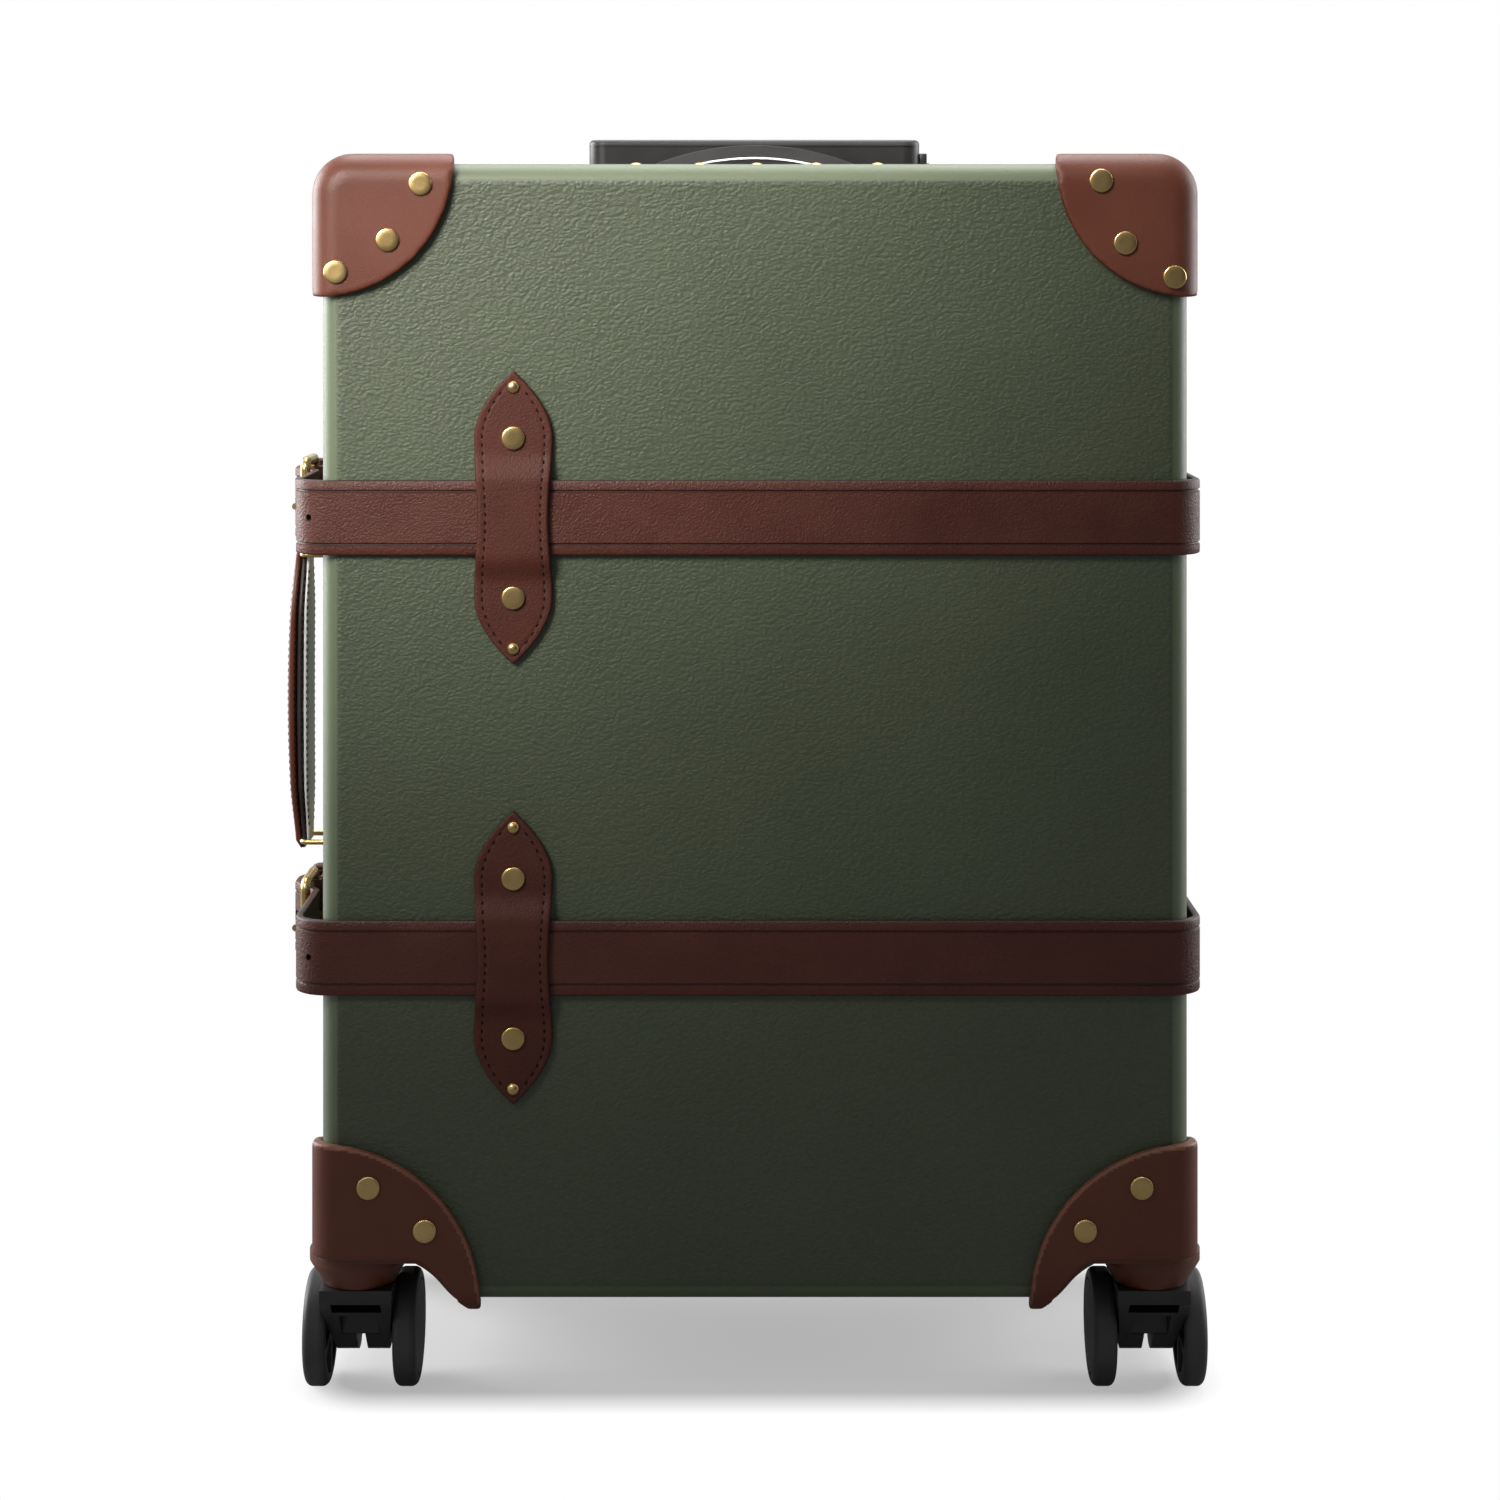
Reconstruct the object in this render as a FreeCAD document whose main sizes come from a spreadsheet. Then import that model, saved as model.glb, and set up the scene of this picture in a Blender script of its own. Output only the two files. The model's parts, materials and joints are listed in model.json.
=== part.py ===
import FreeCAD, Part
import math
import os
import re
from FreeCAD import Placement, Rotation, Vector
from types import SimpleNamespace

# Upright four-wheel travel case. Millimetres, +Z up, front at -Y, origin on the floor under the case.

SIZES = {
    # fibreboard shell, split into a rear half and a hinged front half
    "case_width": 371, "case_depth": 200, "case_height": 486.4, "floor_clearance": 48.6,
    "lid_depth": 75, "shell_wall": 2.4, "edge_radius": 9, "corner_radius": 16, "seam_gap": 0.4,
    # closing valance of the rear half
    "valance_reach": 8, "valance_seat": 22, "valance_wall": 1.6, "valance_clearance": 0.6,
    "valance_notch_width": 60, "valance_notch_rise": 22,
    # leather corners
    "guard_thickness": 4.5, "guard_corner_radius": 17.5, "guard_edge_radius": 12,
    "guard_reach": 57, "wheel_guard_reach": 68.4,
    # wheel recess and swivel collar
    "caster_inset_side": 14, "caster_inset_face": 22, "recess_roof_radius": 36, "recess_mouth_radius": 49.6,
    "recess_rise": 17.4, "recess_drop": 2, "recess_bulge": 2.2, "dish_wall": 2, "dish_flush": 2,
    "collar_top_radius": 21.4, "collar_foot_radius": 15.8, "collar_height": 14, "collar_straight": 4.5,
    "bore_roof": 2,
    # casters
    "stem_radius": 5, "stem_end_gap": 0.5, "running_clearance": 0.08, "wheel_radius": 25, "wheel_width": 10,
    "wheel_spacing": 29, "caster_trail": 18, "axle_radius": 3, "axle_end": 2, "wheel_hub_radius": 6.5,
    "wheel_rim_radius": 19.5, "wheel_dish": 6.5, "spoke_count": 5, "spoke_width": 3, "tread_round": 3,
    "cap_groove": 0.8, "wheel_gap": 0.5, "fork_gap": 0.4, "fork_crown": 6, "fork_top_width": 31,
    "fork_foot_width": 22.5, "fork_boss_radius": 9.4, "fork_rib": 3.2, "fork_bar": 2.2,
    "fork_upper_window": 5, "fork_lower_window": 12, "fork_window_floor": 4, "fork_notch": 4,
    # rivets
    "rivet_head_radius": 5, "rivet_head_height": 1.4, "rivet_shank_radius": 2,
    # rivets of each corner's face: distance in from the case's side, and from its top or bottom
    "left_crown_in": 43, "left_crown_down": 8.7, "left_middle_in": 29, "left_middle_down": 32.6,
    "left_flank_in": 7, "left_flank_down": 46.2, "right_crown_in": 38.3, "right_crown_down": 7.4,
    "right_middle_in": 28, "right_middle_down": 33.9, "right_flank_in": 7, "right_flank_down": 48.4,
    "low_flank_in": 21, "low_flank_up": 50.5, "low_middle_in": 45, "low_middle_up": 32.2,
    # straps
    "strap_width": 32, "strap_thickness": 3, "strap_lift": 0.3, "upper_strap_height": 384,
    "lower_strap_height": 196.4, "strap_right_standoff": 3, "strap_left_standoff": 9, "strap_bend_radius": 12,
    "strap_hinge_cut": 12, "tail_start": 30, "hole_radius": 2, "tail_hole_pitch": 20,
    # stitched tabs over the straps
    "tab_length": 125, "tab_width": 33.5, "tab_waist": 30, "tab_thickness": 3, "tab_offset": 103,
    "tab_rivet_spacing": 68, "tab_ramp": 10, "tab_clearance": 0.3,
    # buckles
    "buckle_inset": 11, "buckle_length": 28, "buckle_wire": 2.2, "buckle_side_clearance": 0.2,
    "buckle_corner": 3.6, "buckle_clearance": 0.5, "chape_wrap": 2.4, "wire_clearance": 0.1,
    "prong_radius": 1.5, "prong_overhang": 2.5, "prong_slot": 6, "prong_eye_width": 4,
    "keeper_inset": 30, "keeper_width": 8, "keeper_wall": 1.6,
    "tail_clearance": 0.4, "tail_tip": 57, "tail_point": 14, "upper_tail_flare": 4, "lower_tail_flare": 8,
    # side carry handle
    "handle_raise": 2, "handle_gap": 11.9, "handle_inset": 35, "ring_wire": 1.2, "ring_play": 0.5,
    "ring_reach": 22.5, "ring_corner": 3, "bracket_plate": 1.5, "bracket_height": 18, "bracket_width": 28,
    "knuckle_radius": 3, "knuckle_height": 4, "knuckle_width": 10, "grip_thickness": 9.5, "grip_bow": 3,
    "grip_width": 26, "grip_loop_radius": 3.4, "grip_loop_width": 15,
    # locks on the left side
    "lock_spacing": 294, "lock_height": 40, "lock_plate": 1.5, "lock_depth": 30, "lock_case_depth": 15,
    "lock_case_height": 5.5, "lock_channel": 22, "hasp_width": 18, "hasp_thickness": 1.6, "hasp_lift": 0.4,
    "hasp_overlap": 24, "hasp_axis_inset": 14, "hasp_pin": 1.2, "hasp_knuckle": 2.4, "hasp_leaf": 10,
    "slide_length": 8, "slide_width": 9, "slide_height": 3, "bolt_depth": 3, "bolt_width": 4,
    "slide_clearance": 0.3,
    # hinges on the right side
    "hinge_spacing": 150, "hinge_length": 34, "hinge_leaf_width": 15, "hinge_leaf": 1.2, "hinge_radius": 2.5,
    "hinge_pin": 1.2, "hinge_stand": 0.4, "hinge_end_gap": 0.3, "hinge_middle": 12,
    # trolley
    "trolley_inset": 26, "bar_width": 159, "bar_depth": 24, "bar_height": 26, "bar_rise": 16, "bar_round": 8,
    "bar_edge_round": 2, "tray_clearance": 3, "tray_wall": 2, "tube_spacing": 124, "tube_width": 20,
    "tube_depth": 13, "tube_wall": 1, "tube_round": 4, "tube_clearance": 0.4, "tube_base": 14,
    "stage_step": 2, "tube_socket": 8, "foot_width": 152, "foot_depth": 22, "button_length": 44,
    "button_width": 11, "button_height": 5.6, "button_travel": 3, "button_clearance": 0.3, "lug_length": 3.5,
    "lug_height": 4.8, "lug_depth": 12,
    # top handle
    "top_handle_radius": 126, "top_handle_thickness": 5.5, "top_handle_rise": 11.7,
    "top_handle_width": 22, "top_handle_span": 116, "top_handle_leg": 8, "top_handle_lift": 12,
    "top_tray_end_gap": 6, "top_tray_side_gap": 6, "top_tray_foot_gap": 3, "top_tray_depth": 20,
    "top_tray_wall": 2, "top_tray_end_wall": 4, "top_pin_radius": 2, "top_pin_clearance": 0.3,
}

# sizes that follow from the ones above
FOLLOWS = {
    "side_x": "case_width / 2",
    "face_y": "case_depth / 2",
    "seam_y": "lid_depth - case_depth / 2",
    "top_z": "floor_clearance + case_height",
    "caster_x": "case_width / 2 - caster_inset_side",
    "caster_y": "case_depth / 2 - caster_inset_face",
    "roof_z": "floor_clearance + recess_rise",
    "mouth_z": "floor_clearance - recess_drop",
    "collar_z": "floor_clearance + recess_rise - collar_height",
    "trolley_y": "case_depth / 2 - trolley_inset",
    "tray_floor_z": "floor_clearance + case_height + bar_rise - bar_height",
    "middle_z": "floor_clearance + case_height / 2",
    "handle_height": "(upper_strap_height + lower_strap_height) / 2 + handle_raise",
    "handle_bar_spacing": "upper_strap_height - lower_strap_height - strap_width - 2 * handle_gap",
    "handle_x": "case_width / 2 + ring_reach",
    "handle_y": "lid_depth - case_depth / 2 + handle_inset",
    "heel_y": "lid_depth - case_depth / 2 + buckle_inset",
    "chape_radius": "buckle_wire + wire_clearance + chape_wrap",
    "strap_left_x": "case_width / 2 + strap_left_standoff",
    "strap_right_x": "case_width / 2 + strap_right_standoff",
    "strap_front_y": "case_depth / 2 + strap_lift",
    "buckle_x": "case_width / 2 + strap_left_standoff + strap_thickness + buckle_clearance + buckle_wire",
    "hinge_x": "case_width / 2 + hinge_radius + hinge_stand",
    "top_handle_y": "(lid_depth + valance_seat - trolley_inset"
                    " - bar_depth / 2 - tray_clearance - tray_wall) / 2",
    "ring_width": "grip_loop_width + 2 * ring_corner + 2 * ring_play",
    "top_tray_length": "top_handle_span + 2 * top_tray_end_gap",
    "top_tray_width": "top_handle_width + 2 * top_tray_side_gap",
}

doc = FreeCAD.newDocument("TravelCase")
sheet = doc.addObject("Spreadsheet::Sheet", "Sizes")
for row, (alias, number) in enumerate(SIZES.items(), start=1):
    sheet.set("A%d" % row, alias)
    sheet.set("B%d" % row, str(number))
    sheet.setAlias("B%d" % row, alias)
doc.recompute()

follows = doc.addObject("App::FeaturePython", "Follows")


def formula(text):
    """Put the sheet's name before each size in an expression."""
    def owner(word):
        name = word.group()
        if name in SIZES:
            return "Sizes." + name
        if name in FOLLOWS:
            return "Follows." + name
        return name
    return re.sub(r"[a-z][a-z_]*", owner, text)


for alias, rule in FOLLOWS.items():
    follows.addProperty("App::PropertyFloat", alias)
    follows.setExpression(alias, formula(rule))
doc.recompute()

mm = SimpleNamespace(**{alias: float(sheet.get(alias)) for alias in SIZES},
                     **{alias: float(getattr(follows, alias)) for alias in FOLLOWS})
nodes = {}


def node(name, item):
    """Register a finished piece under its own name."""
    item.Label = name
    nodes[name] = item
    return item


def locate(item, at, turn=None):
    if turn is not None:
        item.Placement = Placement(Vector(0, 0, 0), turn)
    for axis, text in zip("xyz", at):
        item.setExpression("Placement.Base." + axis, formula(text))
    return item


def block(name, low, high):
    """A box between two corners given as expressions."""
    item = doc.addObject("Part::Box", name)
    for side, start, end in zip(("Length", "Width", "Height"), low, high):
        item.setExpression(side, formula("(%s) - (%s)" % (end, start)))
    return locate(item, low)


TURNS = {
    "x": Rotation(Vector(0, 1, 0), 90),
    "y": Rotation(Vector(1, 0, 0), -90),
    "z": Rotation(),
}


def rod(name, radius, length, at, axis="z"):
    """A cylinder that starts at a point and runs along +X, +Y or +Z."""
    item = doc.addObject("Part::Cylinder", name)
    item.setExpression("Radius", formula(radius))
    item.setExpression("Height", formula(length))
    return locate(item, at, TURNS[axis])


def cut(name, base, *tools):
    item = doc.addObject("Part::Cut", name)
    item.Base = base
    item.Tool = tools[0] if len(tools) == 1 else fuse(name + "_tools", *tools)
    return item


def fuse(name, *items):
    item = doc.addObject("Part::MultiFuse", name)
    item.Shapes = list(items)
    item.Refine = True
    return item


def common(name, *items):
    item = doc.addObject("Part::MultiCommon", name)
    item.Shapes = list(items)
    return item


def group(name, *items):
    item = doc.addObject("Part::Compound", name)
    item.Links = list(items)
    return item


def round_edges(name, base, radius, wanted):
    """Fillet the edges of an item that a test accepts."""
    doc.recompute()
    item = doc.addObject("Part::Fillet", name)
    item.Base = base
    item.Edges = [(number, radius, radius) for number, edge in enumerate(base.Shape.Edges, start=1)
                  if wanted(edge)]
    return item


def along(axis):
    """Accept straight edges that run along one axis."""
    direction = {"x": Vector(1, 0, 0), "y": Vector(0, 1, 0), "z": Vector(0, 0, 1)}[axis]

    def test(edge):
        if edge.Curve.TypeId != "Part::GeomLine":
            return False
        return abs(abs(edge.tangentAt(edge.FirstParameter).dot(direction)) - 1) < 1e-6
    return test


def level(axis, *heights):
    """Accept edges that lie in one of the planes at the given heights along an axis."""
    low = {"x": "XMin", "y": "YMin", "z": "ZMin"}[axis]
    high = {"x": "XMax", "y": "YMax", "z": "ZMax"}[axis]

    def test(edge):
        box = edge.BoundBox
        return any(abs(getattr(box, low) - height) < 1e-4 and abs(getattr(box, high) - height) < 1e-4
                   for height in heights)
    return test


def rounded_case(name, grow, corner, edge):
    """The case's rounded outer form, grown or shrunk by a distance."""
    low = ("-side_x - (%s)" % grow, "-face_y - (%s)" % grow, "floor_clearance - (%s)" % grow)
    high = ("side_x + (%s)" % grow, "face_y + (%s)" % grow, "top_z + (%s)" % grow)
    raw = block(name + "_raw", low, high)
    sided = round_edges(name + "_sided", raw, corner, along("y"))
    doc.recompute()
    box = sided.Shape.BoundBox
    return round_edges(name, sided, edge, level("y", box.YMin, box.YMax))


def body(name, at=("0", "0", "0"), turn=None):
    item = doc.addObject("PartDesign::Body", name)
    return locate(item, at, turn)


def plane(owner, role):
    return [item for item in owner.Origin.OriginFeatures if item.Role == role][0]


def sketch(owner, role, name, edges):
    """A sketch on one of a body's own planes, from lines, arcs and circles."""
    item = owner.newObject("Sketcher::SketchObject", name)
    item.AttachmentSupport = [(plane(owner, role), "")]
    item.MapMode = "FlatFace"
    for edge in edges:
        item.addGeometry(edge, False)
    return item


def line(start, end):
    return Part.LineSegment(Vector(start[0], start[1], 0), Vector(end[0], end[1], 0))


def arc(start, middle, end):
    return Part.Arc(Vector(start[0], start[1], 0), Vector(middle[0], middle[1], 0), Vector(end[0], end[1], 0))


def circle(centre, radius):
    return Part.Circle(Vector(centre[0], centre[1], 0), Vector(0, 0, 1), radius)


def loop(points):
    return [line(start, end) for start, end in zip(points, points[1:] + points[:1])]


def pad(owner, profile, length, both=False, back=False):
    item = owner.newObject("PartDesign::Pad", profile.Name + "_pad")
    item.Profile = profile
    item.setExpression("Length", formula(length))
    if both:
        item.SideType = "Symmetric"
    item.Reversed = back
    return item


def revolve(owner, profile, axis):
    item = owner.newObject("PartDesign::Revolution", profile.Name + "_turned")
    item.Profile = profile
    item.ReferenceAxis = (profile, [axis])
    item.Angle = 360
    return item


def pocket(owner, profile, length, back=False, through=False, both=False):
    """A pocket that must remove material."""
    doc.recompute()
    before = owner.Shape.Volume
    item = owner.newObject("PartDesign::Pocket", profile.Name + "_cut")
    item.Profile = profile
    if through:
        item.Type = "ThroughAll"
    else:
        item.setExpression("Length", formula(length))
    if both:
        item.SideType = "Symmetric"
    item.Reversed = back
    doc.recompute()
    if owner.Shape.Volume > before - 1e-6:
        raise RuntimeError("pocket removes nothing: " + item.Name)
    return item


def band(points, radii, thickness):
    """Outline of a strip of even thickness, left of a path of straight runs and tangent arcs."""
    near = []
    far = []
    count = len(points)
    for index in range(count):
        here = Vector(points[index][0], points[index][1], 0)
        inward = None
        outward = None
        if index > 0:
            inward = (here - Vector(points[index - 1][0], points[index - 1][1], 0)).normalize()
        if index < count - 1:
            outward = (Vector(points[index + 1][0], points[index + 1][1], 0) - here).normalize()
        if inward is None or outward is None:
            run = outward if inward is None else inward
            side = Vector(-run.y, run.x, 0) * thickness
            near.append((here,))
            far.append((here + side,))
            continue
        turn = math.atan2(inward.x * outward.y - inward.y * outward.x, inward.dot(outward))
        reach = radii[index] * math.tan(abs(turn) / 2)
        sign = 1 if turn > 0 else -1
        first = here - inward * reach
        last = here + outward * reach
        normal = Vector(-inward.y, inward.x, 0)
        centre = first + normal * radii[index] * sign
        middle_way = (here - centre).normalize()
        far_radius = radii[index] - sign * thickness
        near.append((first, centre + middle_way * radii[index], last))
        far.append((centre + (first - centre).normalize() * far_radius, centre + middle_way * far_radius,
                    centre + (last - centre).normalize() * far_radius))
    edges = []
    for side in (near, far):
        for index, stop in enumerate(side):
            if len(stop) == 3:
                edges.append(Part.Arc(*stop))
            if index < count - 1:
                edges.append(Part.LineSegment(stop[-1], side[index + 1][0]))
    edges.append(Part.LineSegment(near[0][0], far[0][0]))
    edges.append(Part.LineSegment(near[-1][-1], far[-1][-1]))
    return edges


def tube_ring(name, points, radius, wire, at, turn):
    """A closed wire ring: a round section swept round a rounded outline in the XY plane."""
    item = doc.addObject("Part::Feature", name)
    count = len(points)
    edges = []
    stops = []
    for index in range(count):
        here = Vector(*points[index], 0)
        inward = (here - Vector(*points[index - 1], 0)).normalize()
        outward = (Vector(*points[(index + 1) % count], 0) - here).normalize()
        first = here - inward * radius
        last = here + outward * radius
        centre = first + outward * radius
        stops.append((first, centre + (here - centre).normalize() * radius, last))
    for index in range(count):
        edges.append(Part.Arc(*stops[index]).toShape())
        edges.append(Part.LineSegment(stops[index][2], stops[(index + 1) % count][0]).toShape())
    path = Part.Wire(edges)
    start = stops[0][0]
    section = Part.Wire(Part.Circle(start, (stops[0][0] - stops[-1][2]).normalize(), wire).toShape())
    shape = path.makePipeShell([section], True, True)
    if shape.Volume < 0:
        shape.reverse()
    item.Shape = shape
    return locate(item, at, turn)


SIDES = {"left": -1, "right": 1}
ENDS = {"front": -1, "rear": 1}

# The case: a closed rounded box of fibreboard, cut along the opening into two trays.
case_outer = rounded_case("case_outer", "0", mm.corner_radius, mm.edge_radius)
case_inner = rounded_case("case_inner", "-shell_wall", mm.corner_radius - mm.shell_wall,
                          mm.edge_radius - mm.shell_wall)
case_wall = cut("case_wall", case_outer, case_inner)


def recess_curve(extra):
    """Roof edge, bulge and mouth of the wheel recess about its swivel, as radius and height."""
    roof = (mm.recess_roof_radius + extra, mm.roof_z + extra)
    mouth = (mm.recess_mouth_radius + extra, mm.mouth_z)
    across = Vector(mouth[0] - roof[0], mouth[1] - roof[1], 0)
    out = Vector(-across.y, across.x, 0).normalize() * mm.recess_bulge
    middle = ((roof[0] + mouth[0]) / 2 + out.x, (roof[1] + mouth[1]) / 2 + out.y)
    return roof, middle, mouth


def recess_tool(end, side):
    """The volume that a wheel recess takes out of a shell and its leather corner."""
    item = body("%s_%s_recess" % (end, side), caster_place(end, side))
    roof, middle, mouth = recess_curve(mm.dish_wall)
    low = mm.mouth_z - mm.guard_thickness
    edges = [line((0, low), (mouth[0], low)), line((mouth[0], low), mouth), arc(mouth, middle, roof),
             line(roof, (0, roof[1])), line((0, roof[1]), (0, low))]
    revolve(item, sketch(item, "XZ_Plane", item.Name + "_profile", edges), "V_Axis")
    return item


def caster_place(end, side, height="0"):
    return ("%d * caster_x" % SIDES[side], "%d * caster_y" % ENDS[end], height)


recesses = {(end, side): recess_tool(end, side) for end in ENDS for side in SIDES}

# Rear half: its top panel has openings for the trolley tray and the top handle's tray.
trolley_hole = block("trolley_hole", ("-bar_width / 2 - tray_clearance - tray_wall",
                                      "trolley_y - bar_depth / 2 - tray_clearance - tray_wall",
                                      "tray_floor_z - tray_wall"),
                     ("bar_width / 2 + tray_clearance + tray_wall",
                      "trolley_y + bar_depth / 2 + tray_clearance + tray_wall", "top_z"))
top_handle_hole = block("top_handle_hole", ("-top_tray_length / 2 - top_tray_end_wall",
                                            "top_handle_y - top_tray_width / 2 - top_tray_wall",
                                            "top_z - top_tray_depth - top_tray_wall"),
                        ("top_tray_length / 2 + top_tray_end_wall",
                         "top_handle_y + top_tray_width / 2 + top_tray_wall", "top_z"))
rear_space = block("rear_space", ("-case_width", "seam_y + seam_gap / 2", "0"),
                   ("case_width", "case_depth", "2 * top_z"))
front_space = block("front_space", ("-case_width", "-case_depth", "0"),
                    ("case_width", "seam_y - seam_gap / 2", "2 * top_z"))
rear_tray = common("rear_tray", case_wall, rear_space)
front_tray = common("front_tray", case_wall, front_space)
node("base_shell", cut("base_shell", rear_tray, recesses["rear", "left"], recesses["rear", "right"],
                       trolley_hole, top_handle_hole))
node("lid_shell", cut("lid_shell", front_tray, recesses["front", "left"], recesses["front", "right"]))


def build_valance():
    """A strip inside the rear half's mouth that stands proud, so that the lid closes over it."""
    inset = "-shell_wall - valance_clearance"
    seat_hollow = "-shell_wall - valance_clearance - valance_wall"
    shrink = mm.shell_wall + mm.valance_clearance
    lip_outer = rounded_case("valance_lip_outer", inset, mm.corner_radius - shrink, mm.edge_radius - shrink)
    hollow = rounded_case("valance_hollow", seat_hollow, mm.corner_radius - shrink - mm.valance_wall,
                          mm.edge_radius - shrink - mm.valance_wall)
    lip_zone = block("valance_lip_zone", ("-case_width", "seam_y - valance_reach", "0"),
                     ("case_width", "seam_y + valance_seat", "2 * top_z"))
    seat_zone = block("valance_seat_zone", ("-case_width", "seam_y + seam_gap / 2", "0"),
                      ("case_width", "seam_y + valance_seat", "2 * top_z"))
    strip = fuse("valance_strip", common("valance_lip", lip_outer, lip_zone),
                 common("valance_seat", case_inner, seat_zone))
    notches = []
    for side, sign in SIDES.items():
        inner = "%d * (caster_x - valance_notch_width / 2)" % sign
        outer = "%d * side_x" % sign
        low_x, high_x = (outer, inner) if sign < 0 else (inner, outer)
        notches.append(block("valance_notch_" + side, (low_x, "seam_y - valance_reach", "floor_clearance"),
                             (high_x, "seam_y + seam_gap / 2", "floor_clearance + valance_notch_rise")))
    return node("base_valance", cut("base_valance", strip, hollow, *notches))


build_valance()

# Leather corners: the skin of a larger rounded box, as far as a ball about each case corner reaches.
guard_outer = rounded_case("guard_outer", "guard_thickness", mm.guard_corner_radius, mm.guard_edge_radius)
guard_skin = cut("guard_skin", guard_outer, case_outer)

# names of the rivets on a corner's front or rear face
FACE_RIVETS = {
    "top": ("%(side)s_crown", "%(side)s_middle", "%(side)s_flank"),
    "bottom": ("low_flank", "low_middle"),
}
HALVES = {"front": "lid", "rear": "base"}
rivets = {"lid": [], "base": []}


def rivet(name, at, axis, sign, depth):
    """A flat brass head on a shank that goes through the leather; at is the shank's end on the shell."""
    back = list(at)
    seat = list(at)
    place = "xyz".index(axis)
    if sign > 0:
        seat[place] = "%s + %s" % (at[place], depth)
    else:
        back[place] = "%s - %s" % (at[place], depth)
        seat[place] = "%s - %s - rivet_head_height" % (at[place], depth)
    shank = rod(name + "_shank", "rivet_shank_radius", depth, back, axis)
    head = rod(name + "_head", "rivet_head_radius", "rivet_head_height", seat, axis)
    domed = round_edges(name + "_round", head, mm.rivet_head_height * 0.4,
                        level(axis, rivet_crown(head, axis, sign)))
    return shank, fuse(name, shank, domed)


def rivet_crown(head, axis, sign):
    doc.recompute()
    box = head.Shape.BoundBox
    return getattr(box, axis.upper() + ("Max" if sign > 0 else "Min"))


def corner_guard(end, level_name, side):
    name = "%s_corner_%s_%s" % (HALVES[end], level_name, side)
    reach = "guard_reach" if level_name == "top" else "wheel_guard_reach"
    ball = doc.addObject("Part::Sphere", name + "_ball")
    ball.setExpression("Radius", formula(reach))
    corner_z = "top_z" if level_name == "top" else "floor_clearance"
    locate(ball, ("%d * side_x" % SIDES[side], "%d * face_y" % ENDS[end], corner_z))
    skin = common(name + "_skin", guard_skin, ball)
    tools = []
    for place in FACE_RIVETS[level_name]:
        spot = place % {"side": side}
        height = "top_z - %s_down" % spot if level_name == "top" else "floor_clearance + %s_up" % spot
        at = ("%d * (side_x - %s_in)" % (SIDES[side], spot), "%d * face_y" % ENDS[end], height)
        shank, piece = rivet("%s_%s" % (name, spot), at, "y", ENDS[end], "guard_thickness")
        tools.append(shank)
        rivets[HALVES[end]].append(piece)
    if level_name == "bottom":
        tools.append(recesses[end, side])
    node(name, cut(name, skin, *tools))


for end_name in ENDS:
    for level_name in ("top", "bottom"):
        for side_name in SIDES:
            corner_guard(end_name, level_name, side_name)

# Wheel housings: a moulded dish that lines each recess, with the collar that holds the swivel stem.
housing_clip = rounded_case("housing_clip", "dish_flush", mm.corner_radius + mm.dish_flush,
                            mm.edge_radius + mm.dish_flush)


def wheel_housing(end, side):
    """A dish that lines the recess, and the round collar under its roof that holds the swivel stem."""
    name = "%s_%s" % (end, side)
    dish = body(name + "_dish", caster_place(end, side))
    roof, middle, mouth = recess_curve(0)
    back_roof, back_middle, back_mouth = recess_curve(mm.dish_wall)
    edges = [line((0, roof[1]), roof), arc(roof, middle, mouth), line(mouth, back_mouth),
             arc(back_mouth, back_middle, back_roof), line(back_roof, (0, back_roof[1])),
             line((0, back_roof[1]), (0, roof[1]))]
    revolve(dish, sketch(dish, "XZ_Plane", name + "_dish_profile", edges), "V_Axis")
    collar = body(name + "_collar", caster_place(end, side))
    bore = mm.stem_radius + mm.running_clearance
    bore_top = mm.roof_z - mm.bore_roof
    wide = mm.collar_top_radius
    waist_z = mm.roof_z - mm.collar_straight
    edges = loop([(bore, mm.collar_z), (mm.collar_foot_radius, mm.collar_z), (wide, waist_z),
                  (wide, mm.roof_z), (0, mm.roof_z), (0, bore_top), (bore, bore_top)])
    revolve(collar, sketch(collar, "XZ_Plane", name + "_collar_profile", edges), "V_Axis")
    return fuse(name + "_housing", common(name + "_dish_trimmed", dish, housing_clip), collar)


for end_name in ENDS:
    node(end_name + "_wheel_housings", group(end_name + "_wheel_housings", wheel_housing(end_name, "left"),
                                             wheel_housing(end_name, "right")))


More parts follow.
